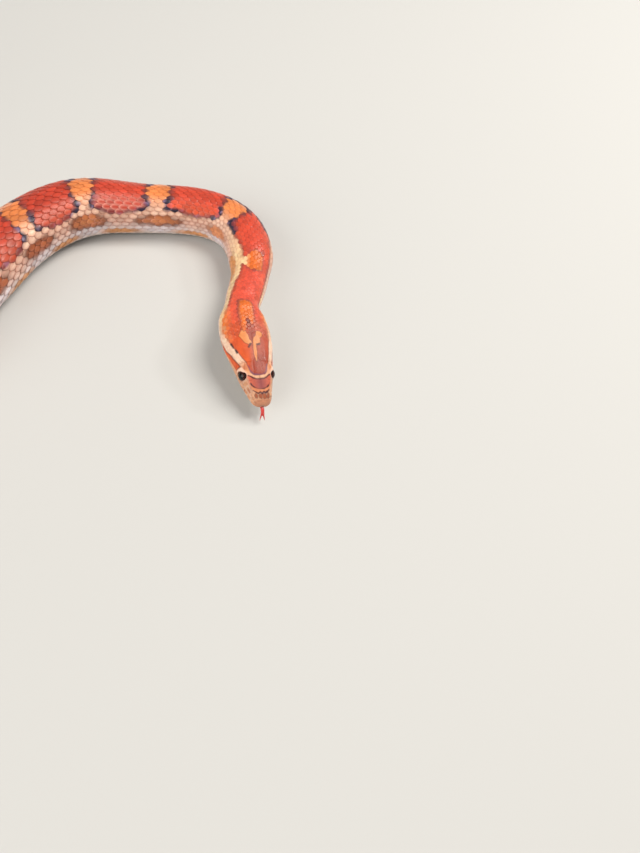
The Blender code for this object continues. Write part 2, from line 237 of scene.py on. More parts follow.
def look_up(net, s, x):
    """Values of the net at distances s from the snout and x round from the mid back."""
    row = np.interp(s, STATIONS, np.arange(len(STATIONS)))
    share = np.clip(x / half_round(s), -1, 1)
    column = (share + 1) / 2 * (len(SHARES) - 1)
    i = np.clip(row.astype(int), 0, len(STATIONS) - 2)
    j = np.clip(column.astype(int), 0, len(SHARES) - 2)
    a, b = row - i, column - j
    if net.ndim == 3:
        a, b = a[..., None], b[..., None]
    near = net[i, j] * (1 - b) + net[i, j + 1] * b
    far = net[i + 1, j] * (1 - b) + net[i + 1, j + 1] * b
    return near * (1 - a) + far * a


def on_skin(s, x, lift):
    """Points in metres, lifted off the plain surface by a height in millimetres."""
    point = look_up(NET_POINTS, s, x)
    normal = look_up(NET_NORMALS, s, x)
    normal /= np.linalg.norm(normal, axis=-1, keepdims=True) + 1e-9
    return (point + normal * np.asarray(lift)[..., None]) * MM


def height_of(s, x):
    """Height over the chin plane in the head's own section."""
    return look_up(NET_UP, s, x)


# The markings
#
# Red-orange saddles with blue-black ends lie across the back between bars of peach. Brown
# blotches edge the pink flanks below the bars, gold ones lie lower between them, and the
# belly is white with dark checks. All are told by their place on the skin.


def tint(red, green, blue):
    """A colour as light, from the numbers of a colour picker."""
    part = np.array([red, green, blue]) / 255
    return np.where(part <= 0.04045, part / 12.92, ((part + 0.055) / 1.055) ** 2.4)


def edge_of(distance, soft=0.12):
    """1 well inside, 0 well outside, for distances in millimetres from an edge."""
    return np.clip(distance / soft * 0.5 + 0.5, 0, 1)


def paint(under, colour, amount):
    return under + (colour - under) * np.asarray(amount)[..., None]


def grain(s, x, size, seed):
    """Even random patches between -1 and 1, each about as large as the size."""
    u, v = s / size, x / size
    i, j = np.floor(u), np.floor(v)
    a, b = u - i, v - j
    a, b = a * a * (3 - 2 * a), b * b * (3 - 2 * b)

    def corner(di, dj):
        wave = np.sin((i + di) * 127.1 + (j + dj) * 311.7 + seed * 74.7) * 43758.5453
        return 2 * (wave - np.floor(wave)) - 1

    near = corner(0, 0) * (1 - b) + corner(0, 1) * b
    far = corner(1, 0) * (1 - b) + corner(1, 1) * b
    return near * (1 - a) + far * a


def line_distance(s, x, lines):
    """Distance to the nearest of some bent lines drawn on the skin."""
    best = np.full(np.shape(s), 99.0)
    for line in lines:
        for (s0, x0), (s1, x1) in zip(line, line[1:]):
            ds, dx = s1 - s0, x1 - x0
            length = max(ds * ds + dx * dx, 1e-9)
            t = np.clip(((s - s0) * ds + (x - x0) * dx) / length, 0, 1)
            best = np.minimum(best, np.hypot(s - s0 - t * ds, x - x0 - t * dx))
    return best


def within(s, x, outline):
    """Distance inside an outline drawn on the skin, below 0 outside it."""
    closed = tuple(outline) + (outline[0],)
    inside = np.zeros(np.shape(s), bool)
    for (s0, x0), (s1, x1) in zip(closed, closed[1:]):
        if s0 == s1:
            continue
        crossing = (s0 > s) != (s1 > s)
        inside ^= crossing & (x < (x1 - x0) * (s - s0) / (s1 - s0) + x0)
    distance = line_distance(s, x, (closed,))
    return np.where(inside, distance, -distance)


# Where the peach bars cross the back, as the photograph shows the first ones, and the spacing
# of the others along the body and tail. Some bars lie aslant.
FIRST_BARS = (55.5, 81.6, 110.3, 136.7, 162.6)
BAR_SPACING = ((160, 27.0), (450, 31.0), (750, 28.0), (VENT, 19.0), (TAIL_TIP, 10.0))
BAR_SLANT = ((72, -0.25), (96, -0.1), (110, 0.08), (137, 0.17), (163, 0.25), (190, 0.05),
             (260, -0.1), (400, 0.1), (560, -0.1), (700, 0.1), (VENT, 0.0), (TAIL_TIP, 0.0))


def lay_bars():
    bars = list(FIRST_BARS)
    while bars[-1] < TAIL_TIP:
        bars.append(bars[-1] + float(smooth(BAR_SPACING, bars[-1])))
    return np.array([FIRST_BARS[0] - 26.0] + bars)


BARS = lay_bars()

# Half the width of a bar as a share of the spacing, against the share of the way from the
# mid back to the edge of the belly: widest on the back, narrow, then open to the flank
BAR_HALF = (
    (0.0, 0.135), (0.13, 0.135), (0.21, 0.105), (0.30, 0.083), (0.36, 0.09), (0.41, 0.16),
    (0.45, 0.30), (0.485, 0.52), (0.55, 1.0),
)
BORDER_WIDTH = ((0.0, 1.1), (0.12, 1.4), (0.2, 2.0), (0.38, 2.0), (0.45, 0.6), (0.5, 0.4))

# The brown blotch under each bar, and the gold patch lower down between two bars: half
# lengths as shares of the spacing, then middle and half height as shares of the way down
BLOTCH = (0.33, 0.585, 0.105)
LOW_PATCH = (0.28, 0.845, 0.065)

# Along the body: how long, high and strong the blotches are, how dark their outlines and how
# pale their middles, and how deep the red of the saddles is
BLOTCH_LENGTHS = ((96, 1.0), (110, 0.86), (123, 1.0), (137, 1.3), (150, 1.0), (TAIL_TIP, 1.0))
BLOTCH_HEIGHTS = ((60, 1.0), (84, 1.25), (100, 1.0), (TAIL_TIP, 1.0))
BLOTCH_STRENGTH = ((31, 0.0), (56, 0.2), (70, 0.9), (VENT, 1.0), (940, 0.5), (TAIL_TIP, 0.2))
BLOTCH_OUTLINE = ((80, 0.15), (104, 1.0), (TAIL_TIP, 1.0))
BLOTCH_PALE = ((60, 1.0), (110, 0.9), (138, 0.7), (165, 0.15), (240, 0.4), (TAIL_TIP, 0.4))
SADDLE_DEPTH = ((0, -0.35), (125, -0.2), (150, 0.15), (170, 0.2), (TAIL_TIP, 0.2))

# The pattern's own mid line lies a little to the left on the neck
MID_LINE = ((0, 0.0), (24, 0.0), (31, -0.2), (55, -0.8), (80, -0.6), (110, -0.2), (140, 0.0),
            (TAIL_TIP, 0.0))

# On the head and neck the red of the back ends on the right and on the left at these
# distances from the mid back, and the pale stripe behind the eye ends at the third
RED_RIGHT = ((7.85, 0.0), (8.0, 1.8), (8.6, 2.4), (9.8, 2.9), (11.2, 3.2), (12.5, 3.6),
             (14.5, 4.6), (16.5, 5.6), (18.5, 6.7), (20.5, 7.6), (22.5, 8.5), (24.5, 9.2),
             (26.5, 9.2), (28.5, 8.3), (30.5, 7.1), (33, 6.1), (36, 5.5), (40, 5.2), (44, 4.9),
             (47, 4.3), (50, 3.9), (55, 3.7), (58, 3.7), (62, 4.2), (66, 5.3), (70, 5.9),
             (75, 5.9), (78, 5.8), (84, 8.6))
RED_LEFT = ((7.85, 0.0), (8.0, 1.8), (8.6, 2.4), (9.8, 2.9), (11.2, 3.4), (12.5, 4.1),
            (15, 5.0), (18, 5.8), (20, 6.4), (22, 6.8), (26, 7.1), (30, 7.2), (36, 6.9), (40, 6.7),
            (50, 6.7), (55, 7.1), (60, 7.8), (66, 8.4), (72, 8.8), (84, 9.2))
STRIPE_OUT = ((6.9, 0.0), (7.0, 1.3), (7.4, 2.2), (8.2, 3.2), (9.2, 4.2), (11, 5.0), (12.5, 5.8),
              (14.5, 7.0), (16.5, 8.1), (18, 9.2), (20, 10.1), (22, 10.9), (24, 11.4), (28, 11.2),
              (31, 9.4), (36, 8.0), (44, 7.2), (50, 6.0), (56, 6.2), (60, 8.0), (66, 9.0),
              (74, 8.6), (84, 9.6))
LIP_TOP = ((0, 3.4), (2, 5.2), (5, 7.3), (8.5, 8.6), (12, 9.3), (16, 11.2), (20, 12.4),
           (24, 13.2), (27, 13.4))

RED = tint(222, 78, 54)
NECK_RED = tint(240, 92, 70)
RED_DEEP = tint(158, 44, 34)
ORANGE = tint(226, 98, 48)
MAUVE = tint(150, 54, 36)
ROSE_AND_SHEEN = tint(206, 98, 74)
SNOUT_MAUVE = tint(158, 84, 84)
INK = tint(50, 40, 62)
INK_BROWN = tint(112, 58, 58)
PEACH = tint(238, 140, 80)
BRIGHT_PEACH = tint(236, 114, 42)
PINK = tint(230, 168, 146)
PALE_PINK = tint(250, 210, 188)
CREAM = tint(250, 238, 228)
WHITE = tint(236, 224, 208)
LILAC = tint(238, 230, 238)
BROWN = tint(164, 80, 38)
BROWN_DARK = tint(84, 42, 28)
BLOTCH_LIGHT = tint(238, 152, 96)
GOLD = tint(220, 138, 38)
CHECK = tint(74, 62, 66)
TAN = tint(228, 146, 88)
BROW_PEACH = tint(226, 152, 108)
STRIPE = tint(248, 212, 188)
NECK_STRIPE = tint(255, 216, 168)
CHEEK = tint(250, 140, 62)
RIM = tint(104, 44, 36)
RIM_PINK_AND_HIGHLIGHT = tint(252, 178, 164)
RIM_BROWN = tint(176, 100, 78)
GLINT = tint(150, 130, 172)

# The head's own colours, from the crown to the lips and round the eye
CROWN_MOTTLE = tint(150, 62, 42)
BAND = tint(240, 188, 152)
BROW_MOTTLE = tint(196, 112, 80)
BAND_LINE = tint(118, 70, 96)
DASH = tint(52, 30, 34)
TEMPLE_EDGE = tint(92, 40, 36)
SNOUT_SIDE = tint(218, 112, 86)
CRESCENT = tint(222, 142, 100)
CRESCENT_FRONT = tint(222, 170, 136)
NOSE_TIP = tint(200, 140, 110)
SNOUT_DARK = tint(88, 42, 46)
NOSE_PLATE = tint(164, 90, 62)
LOREAL = tint(214, 156, 120)
LOREAL_FLECK = tint(158, 82, 56)
LOREAL_SEAM = tint(244, 214, 188)
LIP = tint(206, 168, 144)
LIP_LINE = tint(120, 72, 60)
SEAM_SHADE = np.array([0.62, 0.46, 0.42])
EYE_FRONT = tint(122, 46, 36)
EYE_RIM = tint(70, 30, 24)
SPOT = tint(86, 36, 32)

# Pale marks of the crown and neck: outlines as distances from the snout and to the right
NAPE_PATCH = ((34.3, 1.6), (34.4, -1.7), (33.5, -2.1), (28.0, -2.3), (26.3, -2.2), (24.6, -1.6),
              (24.8, -1.1), (26.6, -0.9), (27.6, -0.3), (26.9, 0.35), (24.6, 0.9), (22.8, 1.3),
              (22.3, 2.2), (24.5, 2.3), (27.5, 2.1), (31, 2.1))
NAPE_NOTCH = ((27.4, -0.3), (26.4, -0.85), (24.5, -0.5), (24.7, 0.3), (26.6, 0.3))
RIGHT_MARK = ((22.9, 1.5), (22.9, 2.7), (21.0, 4.0), (20.0, 3.4), (18.4, 2.5), (17.9, 1.5),
              (18.2, 0.4), (18.9, 0.5), (19.3, 0.9), (20.8, 1.0), (22.0, 1.5))
LEFT_MARK = ((22.1, -2.0), (22.2, -3.2), (21.6, -3.9), (20.4, -3.6), (19.8, -2.7), (18.3, -2.6),
             (18.0, -1.7), (17.2, -0.9), (14.2, -0.6), (12.2, -0.15), (12.2, 0.15), (14.5, 0.35),
             (17.2, 0.0), (18.7, -0.2), (20.0, -0.7), (20.6, -1.5))
FIRST_BAR = ((51.6, -0.8), (52.4, -3.4), (55.5, -3.6), (59.0, -3.5), (59.6, -1.2), (58.8, 0.6),
             (57.2, 1.6), (57.0, 4.2), (54.2, 4.2), (53.6, 1.9), (52.2, 1.2))
NECK_GOLD = ((45, 6.9), (51, 5.8), (57, 6.0), (61, 8.5), (60, 12), (54, 11), (48, 8.8))

# The yellow-orange cheek behind the jaw's angle, speckled with cream
CHEEK_PATCH = ((20.6, 7.0), (23, 7.6), (26, 6.6), (29.5, 5.8), (31.5, 6.2), (30.5, 7.6), (27, 9.4),
               (25, 9.8), (23, 8.6), (21.5, 7.8))

# The middle of the crown's brownish field, to the right of the mid back
CROWN_MIDDLE = ((8, 0), (11, -0.5), (14, -1.7), (20, -1.8))

# Dark spots before the crown's marks, and dashes along the upper side of the eye stripe
SPOTS = (((17.6, -1.2), (17.7, -2.1)), ((17.9, 0.8), (16.9, 1.6)))
DASHES = (((19.4, 7.05), (17.9, 6.5)), ((16.9, 5.95), (16.1, 5.55)))

# Dark lines of the brow and snout, to either side: inside the pale band, before it, before
# the mauve plates and the wavy one before that; then the brown plates over the lip
BAND_IN = (((7.95, 0.0), (8.05, 1.1), (8.4, 1.95), (9.1, 2.55), (10.2, 2.9), (11.2, 3.15)),)
BAND_OUT = (((6.8, 0.0), (6.9, 1.3), (7.3, 2.25), (7.9, 3.0), (8.2, 3.6)),)
MAUVE_END = (((3.95, 0.0), (4.05, 1.0), (4.5, 2.0), (5.2, 2.8), (5.9, 3.2)),)
WAVY_LINE = (((2.75, 0.0), (3.1, 0.6), (2.8, 1.3), (3.3, 2.0), (3.9, 2.7)),)
NOSE_PLATES = (((2.35, 0.2), (2.55, 0.8), (2.3, 1.25), (1.5, 1.15), (1.25, 0.5), (1.5, 0.15)),
               ((2.6, 1.6), (3.0, 2.1), (2.6, 2.6), (1.8, 2.4), (1.5, 1.7), (1.9, 1.45)))


def body_marks(s, x):
    """Colours of the neck, body and tail."""
    edge = belly_edge(s)
    middle = x - smooth(MID_LINE, s)
    way = np.abs(x) / edge
    back_way = np.abs(middle) / edge
    aslant = s - smooth(BAR_SLANT, s) * np.clip(x, -6, 9)
    nearest = np.clip(np.searchsorted(BARS, aslant), 1, len(BARS) - 1)
    before, after = BARS[nearest - 1], BARS[nearest]
    spacing = after - before
    from_bar = np.minimum(aslant - before, after - aslant)
    ragged = 0.25 * grain(s, x, 1.3, 3) + 0.35 * grain(s, x, 3.1, 4)

    # Flank: pink, whiter towards the belly
    colour = PINK + 0 * s[..., None]
    colour = paint(colour, PALE_PINK, edge_of(0.52 - way, 0.1))
    colour = paint(colour, CREAM, 0.85 * edge_of(way - 0.66, 0.2))

    # Brown blotch under each bar with a white patch below it, and a gold patch between
    length, level, height = BLOTCH
    length = length * smooth(BLOTCH_LENGTHS, s)
    reach = np.abs(from_bar) / (length * spacing)
    height = height * smooth(BLOTCH_HEIGHTS, s)
    blotch = 1 - (reach ** 2.4 + (np.abs(way - level) / height) ** 2.2) ** (1 / 2.3)
    blotch = blotch * height * edge + 1.1 * ragged
    thick = smooth(BLOTCH_STRENGTH, s)
    white = 1.1 - (reach ** 2 + (np.abs(way - 0.77) / 0.11) ** 2) ** 0.5
    colour = paint(colour, LILAC, 0.95 * thick * edge_of(white * 0.1 * edge + ragged, 1.2))
    outlined = smooth(BLOTCH_OUTLINE, s)
    colour = paint(colour, BROWN_DARK, thick * outlined * edge_of(blotch, 0.35))
    light = smooth(BLOTCH_PALE, s)
    inner = paint(BROWN + 0 * colour, BLOTCH_LIGHT, light * edge_of(blotch - 0.6, 1.4))
    colour = paint(colour, inner, thick * edge_of(blotch - 0.45, 0.4))
    length, level, height = LOW_PATCH
    reach = np.abs(spacing / 2 - from_bar) / (length * spacing)
    patch = 1 - (reach ** 2.4 + (np.abs(way - level) / height) ** 2.4) ** (1 / 2.4)
    patch = patch * height * edge + 0.5 * ragged
    colour = paint(colour, GOLD, 0.9 * thick * edge_of(patch, 0.5))
    colour = paint(colour, GOLD, 0.8 * edge_of(within(s, x, NECK_GOLD) + ragged, 0.8))

    # Peach on the back, where no saddle covers it
    colour = paint(colour, PEACH, edge_of(0.28 - back_way, 0.14))

    # Saddle: distance inside its edge, which runs along the body at its lower side
    half = smooth(BAR_HALF, back_way) * spacing
    slope = (smooth(BAR_HALF, back_way + 0.01) * spacing - half) / (0.01 * edge)
    inside = (from_bar - half) / np.sqrt(1 + slope ** 2) + ragged
    right = smooth(RED_RIGHT, s) - x
    left = smooth(RED_LEFT, s) + x
    lone_bar = -within(s, x, FIRST_BAR)
    lone_nape = -within(s, x, NAPE_PATCH)
    inside = np.where(s < 96, np.maximum(inside, -5.4 - x + ragged), inside)
    neck_inside = np.minimum(np.minimum(right, left), np.minimum(lone_bar, lone_nape))
    near_bar = np.where(s > 68, np.maximum(from_bar - half, -5.4 - x), 99.0)
    neck_inside = np.minimum(neck_inside, near_bar) + 0.5 * ragged
    inside = np.where(s < 81.6, neck_inside, inside)
    deep = edge_of(0.5 * grain(s, x, 7.0, 5) + 0.5 * grain(s * 0.35, x, 1.5, 6) - 0.1, 1.3)
    deep = np.clip(deep + smooth(SADDLE_DEPTH, s), 0, 1)
    red = paint(RED + 0 * colour, NECK_RED, edge_of(58 - s, 16))
    red = paint(red, RED_DEEP, 0.65 * deep)
    ruby = edge_of(s - 110, 3) * edge_of(136 - s, 3) * edge_of(back_way - 0.18, 0.1)
    red = paint(red, RED_DEEP, 0.4 * ruby)
    red = paint(red, ORANGE, 0.5 * (1 - ruby) * edge_of(back_way - 0.32, 0.16))
    border = smooth(BORDER_WIDTH, back_way)
    border = np.where(s < 70, 0.6, border) * np.clip(spacing / 26, 0.45, 1)
    ink = paint(INK_BROWN + 0 * colour, INK, edge_of(back_way - 0.14, 0.08) * (s > 70))
    glint = edge_of(grain(s, x, 0.7, 27) - 0.35, 0.1) * edge_of(back_way - 0.2, 0.05)
    ink = paint(ink, GLINT, 0.6 * glint * edge_of(s - 75, 5))
    saddle = paint(ink, red, edge_of(inside - border, 0.9))
    colour = paint(colour, saddle, edge_of(inside, 0.25))

    # The pale stripe along each side of the neck, and the neck's own patches
    stripe_in = np.where(x > 0, right, left)
    stripe = np.minimum(-stripe_in, smooth(STRIPE_OUT, s) - np.abs(x)) + 0.3 * ragged
    colour = paint(colour, NECK_STRIPE, edge_of(stripe, 0.4) * edge_of(66 - s, 10))
    lone = edge_of(-np.minimum(lone_bar, lone_nape), 0.3) * edge_of(66 - s, 1)
    bright = paint(BRIGHT_PEACH + 0 * colour, NECK_STRIPE, edge_of(x - 1.6, 0.8) * (s > 40))
    colour = paint(colour, bright, lone)

    # Belly: white with a lilac edge and dark checks
    colour = paint(colour, WHITE, edge_of(way - 0.95, 0.04))
    colour = paint(colour, LILAC, 0.7 * edge_of(0.04 - np.abs(way - 1.0), 0.04))
    checks = grain(s * 0.7, np.sign(x) * 40 + np.abs(x) * 0.25, 2.6, 8)
    checks = edge_of(checks - 0.15, 0.08) * edge_of(way - 1.08, 0.03) * edge_of(s - 60, 20)
    return paint(colour, CHECK, 0.9 * checks)


def head_marks(s, x, up):
    """Colours of the head."""
    side = np.abs(x)
    ragged = 0.13 * grain(s, x, 0.8, 13) + 0.13 * grain(s, x, 2.0, 14)
    crown_edge = np.where(x > 0, smooth(RED_RIGHT, s), smooth(RED_LEFT, s))
    stripe_edge = smooth(STRIPE_OUT, s)
    seam = line_distance(s, side, SEAMS)

    # Crown: orange-red, brownish mauve in the middle and front, redder to the rear
    colour = ORANGE + 0 * s[..., None]
    middle = smooth(CROWN_MIDDLE, s)
    front = np.exp(-((x - middle) / 3.2) ** 4) * edge_of(17.5 - s, 4)
    rear = np.exp(-((x + 0.4) / 1.7) ** 4) * edge_of(s - 14, 4) * edge_of(25 - s, 3)
    colour = paint(colour, RED, 0.4 * edge_of(s - 19, 6))
    # Rose on the left side of the crown: partly its own colour, partly a painted sheen where the
    # light falls on that side
    colour = paint(colour, ROSE_AND_SHEEN, edge_of(-0.8 - x, 1.6) * edge_of(s - 15, 4) * edge_of(27 - s, 3))
    colour = paint(colour, MAUVE, 0.92 * np.maximum(front, rear))
    colour = paint(colour, CROWN_MOTTLE, 0.35 * edge_of(grain(s, x, 2.6, 17) - 0.2, 0.8))

    # Stripe over the brow and behind the eye, with dark dashes along it
    behind = edge_of(s - 6.5 - 0.08 * side, 0.2)
    pale = edge_of(side - crown_edge + ragged, 0.2) * edge_of(s - 6.6, 0.1)
    stripe = paint(BROW_PEACH + 0 * colour, STRIPE, edge_of(s - 12.2, 1.5))
    stripe = paint(stripe, BAND, edge_of(8.8 - s, 0.8))
    mottled = 0.6 * edge_of(grain(s, x, 1.2, 19) - 0.3, 0.2)
    mottled = mottled * edge_of(12.4 - s, 0.8) * edge_of(side - 3.2, 0.4)
    stripe = paint(stripe, BROW_MOTTLE, mottled)
    colour = paint(colour, stripe, pale)
    thin = edge_of(0.17 - np.abs(side - crown_edge + ragged), 0.12) * edge_of(s - 11.2, 0.5)
    colour = paint(colour, RIM, 0.7 * thin * edge_of(24 - s, 2))
    inner_line = line_distance(s, side, BAND_IN)
    colour = paint(colour, BAND_LINE, 0.85 * edge_of(0.2 - inner_line + ragged, 0.15))
    dash = line_distance(s, x, DASHES)
    colour = paint(colour, DASH, edge_of(0.27 - dash + ragged, 0.2))

    # Temple under the stripe, orange-red with a dark upper edge
    outside = edge_of(side - stripe_edge + ragged, 0.2) * behind
    colour = paint(colour, PALE_PINK, outside * edge_of(s - 8.0, 0.5))
    temple = np.minimum(side - stripe_edge, smooth(LIP_TOP, s) - side) + ragged
    temple = np.minimum(temple, np.minimum(s - 11.4, 25.5 - s))
    colour = paint(colour, TEMPLE_EDGE, edge_of(temple, 0.2) * edge_of(22 - s, 2))
    colour = paint(colour, ORANGE, edge_of(temple - 0.35, 0.3))

    # Snout: mauve plates before the pale band, then paler ones with dark wavy edges
    ahead = edge_of(side - stripe_edge + 0.6 * ragged, 0.12) * edge_of(8.7 - s, 0.4)
    ahead = np.maximum(ahead, edge_of(6.9 - s, 0.1))
    mauve = paint(SNOUT_MAUVE + 0 * colour, SNOUT_SIDE, edge_of(side - 1.9, 1.6))
    colour = paint(colour, mauve, ahead)
    colour = paint(colour, CRESCENT, edge_of(3.95 + 0.13 * side ** 2 - s + ragged, 0.2))
    colour = paint(colour, CRESCENT_FRONT, edge_of(2.8 + 0.14 * side ** 2 - s + ragged, 0.2))
    colour = paint(colour, NOSE_TIP, edge_of(1.3 - s + ragged, 0.3))
    for lines, half, wander in ((BAND_OUT, 0.2, 0.6), (MAUVE_END, 0.14, 1.0), (WAVY_LINE, 0.2, 1.0)):
        drawn = half - line_distance(s, side, lines) + wander * ragged
        colour = paint(colour, SNOUT_DARK, edge_of(drawn, 0.12))
    for outline in NOSE_PLATES:
        plate = within(s, side, outline) + ragged
        colour = paint(colour, SNOUT_DARK, 0.7 * edge_of(plate + 0.1, 0.15))
        colour = paint(colour, NOSE_PLATE, edge_of(plate - 0.08, 0.15))
    loreal = edge_of(side - 3.2 - 0.1 * s + ragged, 0.5) * edge_of(8.4 - s, 1.0)
    colour = paint(colour, LOREAL, loreal)
    flecks = edge_of(grain(s, x, 1.1, 15) - 0.25, 0.2) * loreal
    colour = paint(colour, LOREAL_FLECK, 0.6 * flecks)
    colour = paint(colour, LOREAL_SEAM, 0.6 * loreal * edge_of(0.2 - seam, 0.15))

    # Lips and chin
    lip = edge_of(side - smooth(LIP_TOP, s) + ragged, 0.4)
    colour = paint(colour, LIP, lip)
    colour = paint(colour, WHITE, edge_of(1.9 - up, 0.6))
    mouth_line = edge_of(0.1 - np.abs(up - smooth(MOUTH, s)), 0.1) * edge_of(23.5 - s, 1)
    colour = paint(colour, LIP_LINE, 0.6 * mouth_line)

    # Seams of the shields, brown where they part the pale plates
    bare = edge_of(smooth(SCALES_FROM, side) - s, 0.6)
    brow = edge_of(side - 2.8, 0.3) * edge_of(13.5 - s, 0.5) * edge_of(s - 6.4, 0.3)
    line = (0.3 + 0.3 * lip + 0.4 * brow) * bare * edge_of(0.11 - seam, 0.1)
    line = line * np.maximum(edge_of(side - 0.3, 0.2), s > 7)
    colour = paint(colour, colour * SEAM_SHADE, line)

    # Round the eye
    reach = np.hypot(s - EYE_AT[0], (up - EYE_AT[2]) * 1.05)
    ring = edge_of(2.0 - reach, 0.25) * edge_of(reach - 1.3, 0.15)
    colour = paint(colour, PALE_PINK, ring * edge_of(up - 4.6, 0.5))
    before = edge_of(EYE_AT[0] - s - 0.75 * reach, 0.3) * edge_of(1.85 - reach, 0.3)
    colour = paint(colour, EYE_FRONT, 0.85 * before)
    colour = paint(colour, EYE_RIM, edge_of(1.3 - reach, 0.12))

    # Pale marks of the crown with thin dark rims, and the dark spots before them
    for outline in (RIGHT_MARK, LEFT_MARK, NAPE_PATCH):
        mark = within(s, x, outline) + 0.4 * ragged
        colour = paint(colour, RIM, 0.75 * edge_of(mark + 0.2, 0.15))
        pale = BRIGHT_PEACH if outline is NAPE_PATCH else TAN
        colour = paint(colour, pale, edge_of(mark, 0.12))
    colour = paint(colour, RIM, edge_of(within(s, x, NAPE_NOTCH), 0.25))
    return paint(colour, SPOT, edge_of(0.3 - line_distance(s, x, SPOTS), 0.15))


def marks(s, x):
    """Colours of the whole skin, the head blending into the neck."""
    colour = body_marks(s, x)
    head = s < 28
    if head.any():
        up = height_of(s[head], x[head])
        share = edge_of(26.5 - s[head], 1.5)
        colour[head] = paint(colour[head], head_marks(s[head], x[head], up), share)
    cheek = 0.8 * edge_of(within(s, np.abs(x), CHEEK_PATCH), 1.4)
    speckled = paint(CHEEK + 0 * colour, NECK_STRIPE, 0.5 * edge_of(grain(s, x, 0.9, 23) - 0.2, 0.4))
    return paint(colour, speckled, cheek)


# The skin of the head
#
# Large horny shields with fine seams cover the head, with lips of square plates along the
# mouth, a nostril each side, a ridge over each eye and a hollow before it. Behind them the
# skin lies a little deeper, under the small scales.


def round_to(s, up):
    """The distance round from the mid back where the head's section has a height."""
    way = np.linspace(0, float(half_round(s)), 200)
    heights = height_of(np.full(200, s), way)
    return float(np.interp(-up, -heights, way))


LABIAL_TOP = ((1.0, 1.5), (3.5, 1.8), (6.0, 1.6), (7.6, 1.2), (9.5, 1.05), (11.3, 1.3),
              (13, 1.9), (16, 2.3), (19.5, 2.3), (22, 1.9), (23.4, 0.9))


def lay_seams():
    """The seams of the shields, as lines from the snout and round to either side."""
    top = [
        ((0.9, 0), (7.0, 0)),
        ((0.9, 0), (0.7, 0.9), (0.9, 1.8)),
        ((0.9, 1.8), (3.0, 2.9), (6.9, 4.0)),
        ((3.0, 0), (2.85, 1.4), (3.0, 2.9)),
        ((7.0, 0), (7.2, 1.8), (6.6, 2.9), (6.9, 4.0)),
        ((7.2, 1.8), (9.5, 1.5), (12.2, 1.35), (13.9, 0)),
        ((6.9, 4.0), (8.0, 4.35), (9.6, 4.4), (11.2, 4.3), (12.3, 3.9)),
        ((12.2, 1.35), (12.3, 3.9)),
        ((13.9, 0), (21.6, 0)),
        ((12.3, 3.9), (12.9, 4.9), (15.5, 5.9), (18.6, 5.7), (21.2, 3.9), (22.1, 1.7),
         (21.6, 0)),
    ]

    def low(s, up):
        return s, round_to(s, up)

    def side(points):
        return tuple(low(s, float(smooth(MOUTH, s)) + rise) for s, rise in points)

    across = [side(LABIAL_TOP), side([(s, -1.35) for s in np.linspace(0.8, 22, 12)])]
    for s in (2.2, 4.1, 6.1, 8.2, 10.6, 13.2, 16.2, 19.4, 22.2):
        rise = float(smooth(LABIAL_TOP, s))
        across.append(side(((s, 0.0), (s + 0.15, rise))))
        across.append(side(((s - 0.6, -0.1), (s - 0.3, -1.35))))
    nose = [
        ((3.3, 2.95), low(3.5, 4.0)),
        ((5.7, 3.75), low(5.9, 3.9)),
        ((3.45, round_to(3.5, 4.9)), low(5.8, 5.3)),
        ((7.3, 4.2), low(7.5, 3.6)),
        ((12.3, 3.9), low(12.6, 6.6), low(12.5, 4.6)),
        (low(11.6, 5.4), low(12.6, 5.5)),
        (low(12.6, 5.9), low(16.0, 6.4), low(20, 6.7)),
        ((16.0, 5.9), low(16.3, 6.4), low(16.0, 5.3)),
        ((19.2, 5.4), low(19.5, 6.8), low(19.2, 5.8)),
        (low(0.6, 3.4), low(1.1, 3.5)),
    ]
    return top + across + nose


SEAMS = lay_seams()

# Where the small scales begin, against the distance round from the mid back
SCALES_FROM = ((0, 22.3), (2, 22.2), (3.8, 21.3), (5.2, 19.6), (6.5, 19.4), (9.5, 20.0),
               (11, 22.5), (12.5, 24.6), (14, 25.0), (17, 22.0), (22, 19.0))


def head_relief(s, x, up):
    """How far the head's surface stands out from its plain section."""
    side = np.abs(x)
    bare = edge_of(smooth(SCALES_FROM, side) - s, 1.0)
    seam = line_distance(s, side, SEAMS)
    rise = 0.05 * (1 - np.exp(-((seam / 0.7) ** 2))) - 0.06 * np.exp(-((seam / 0.1) ** 2))
    reach = np.hypot(s - EYE_AT[0], up - EYE_AT[2])
    out = bare * rise * edge_of(reach - 2.35, 0.5)
    mouth = smooth(MOUTH, s)
    open_mouth = edge_of(24.2 - s, 1.6)
    out -= 0.42 * np.exp(-(((up - mouth) / 0.13) ** 2)) * open_mouth
    out += 0.10 * np.exp(-(((up - mouth - 0.45) / 0.35) ** 2)) * open_mouth
    out -= 0.22 * edge_of(mouth - up, 0.5) * edge_of(25.5 - s, 3)
    out += 0.30 * np.exp(-(((s - 9.5) / 2.6) ** 2) - ((up - 6.9) / 0.9) ** 2)
    out -= 0.35 * np.exp(-(((s - 5.6) / 2.0) ** 2) - ((up - 4.5) / 1.0) ** 2)
    out += 0.16 * np.exp(-(((reach - 1.42) / 0.28) ** 2))
    out -= 1.3 * edge_of(1.08 - reach, 0.25)
    hole = np.hypot(s - NOSTRIL_AT[0], up - NOSTRIL_AT[2])
    out += 0.05 * np.exp(-(((hole - 0.55) / 0.2) ** 2))
    out -= 0.55 * edge_of(0.36 - hole, 0.3)
    return out


# Where the belly plates meet, one to each vertebra, and the plates under the tail
VENTRALS = 232
SUBCAUDALS = 66
NAPE_SPACING = 2.1


def scute_edges(start, end, count, power):
    """Where the scutes meet: closer together where the body is thinner, by the power."""
    fine = np.linspace(start, end, 600)
    density = girth(fine)[0] ** -power
    passed = np.concatenate([[0], np.cumsum((density[1:] + density[:-1]) / 2)])
    return np.interp(np.arange(count + 1) / count, passed / passed[-1], fine)


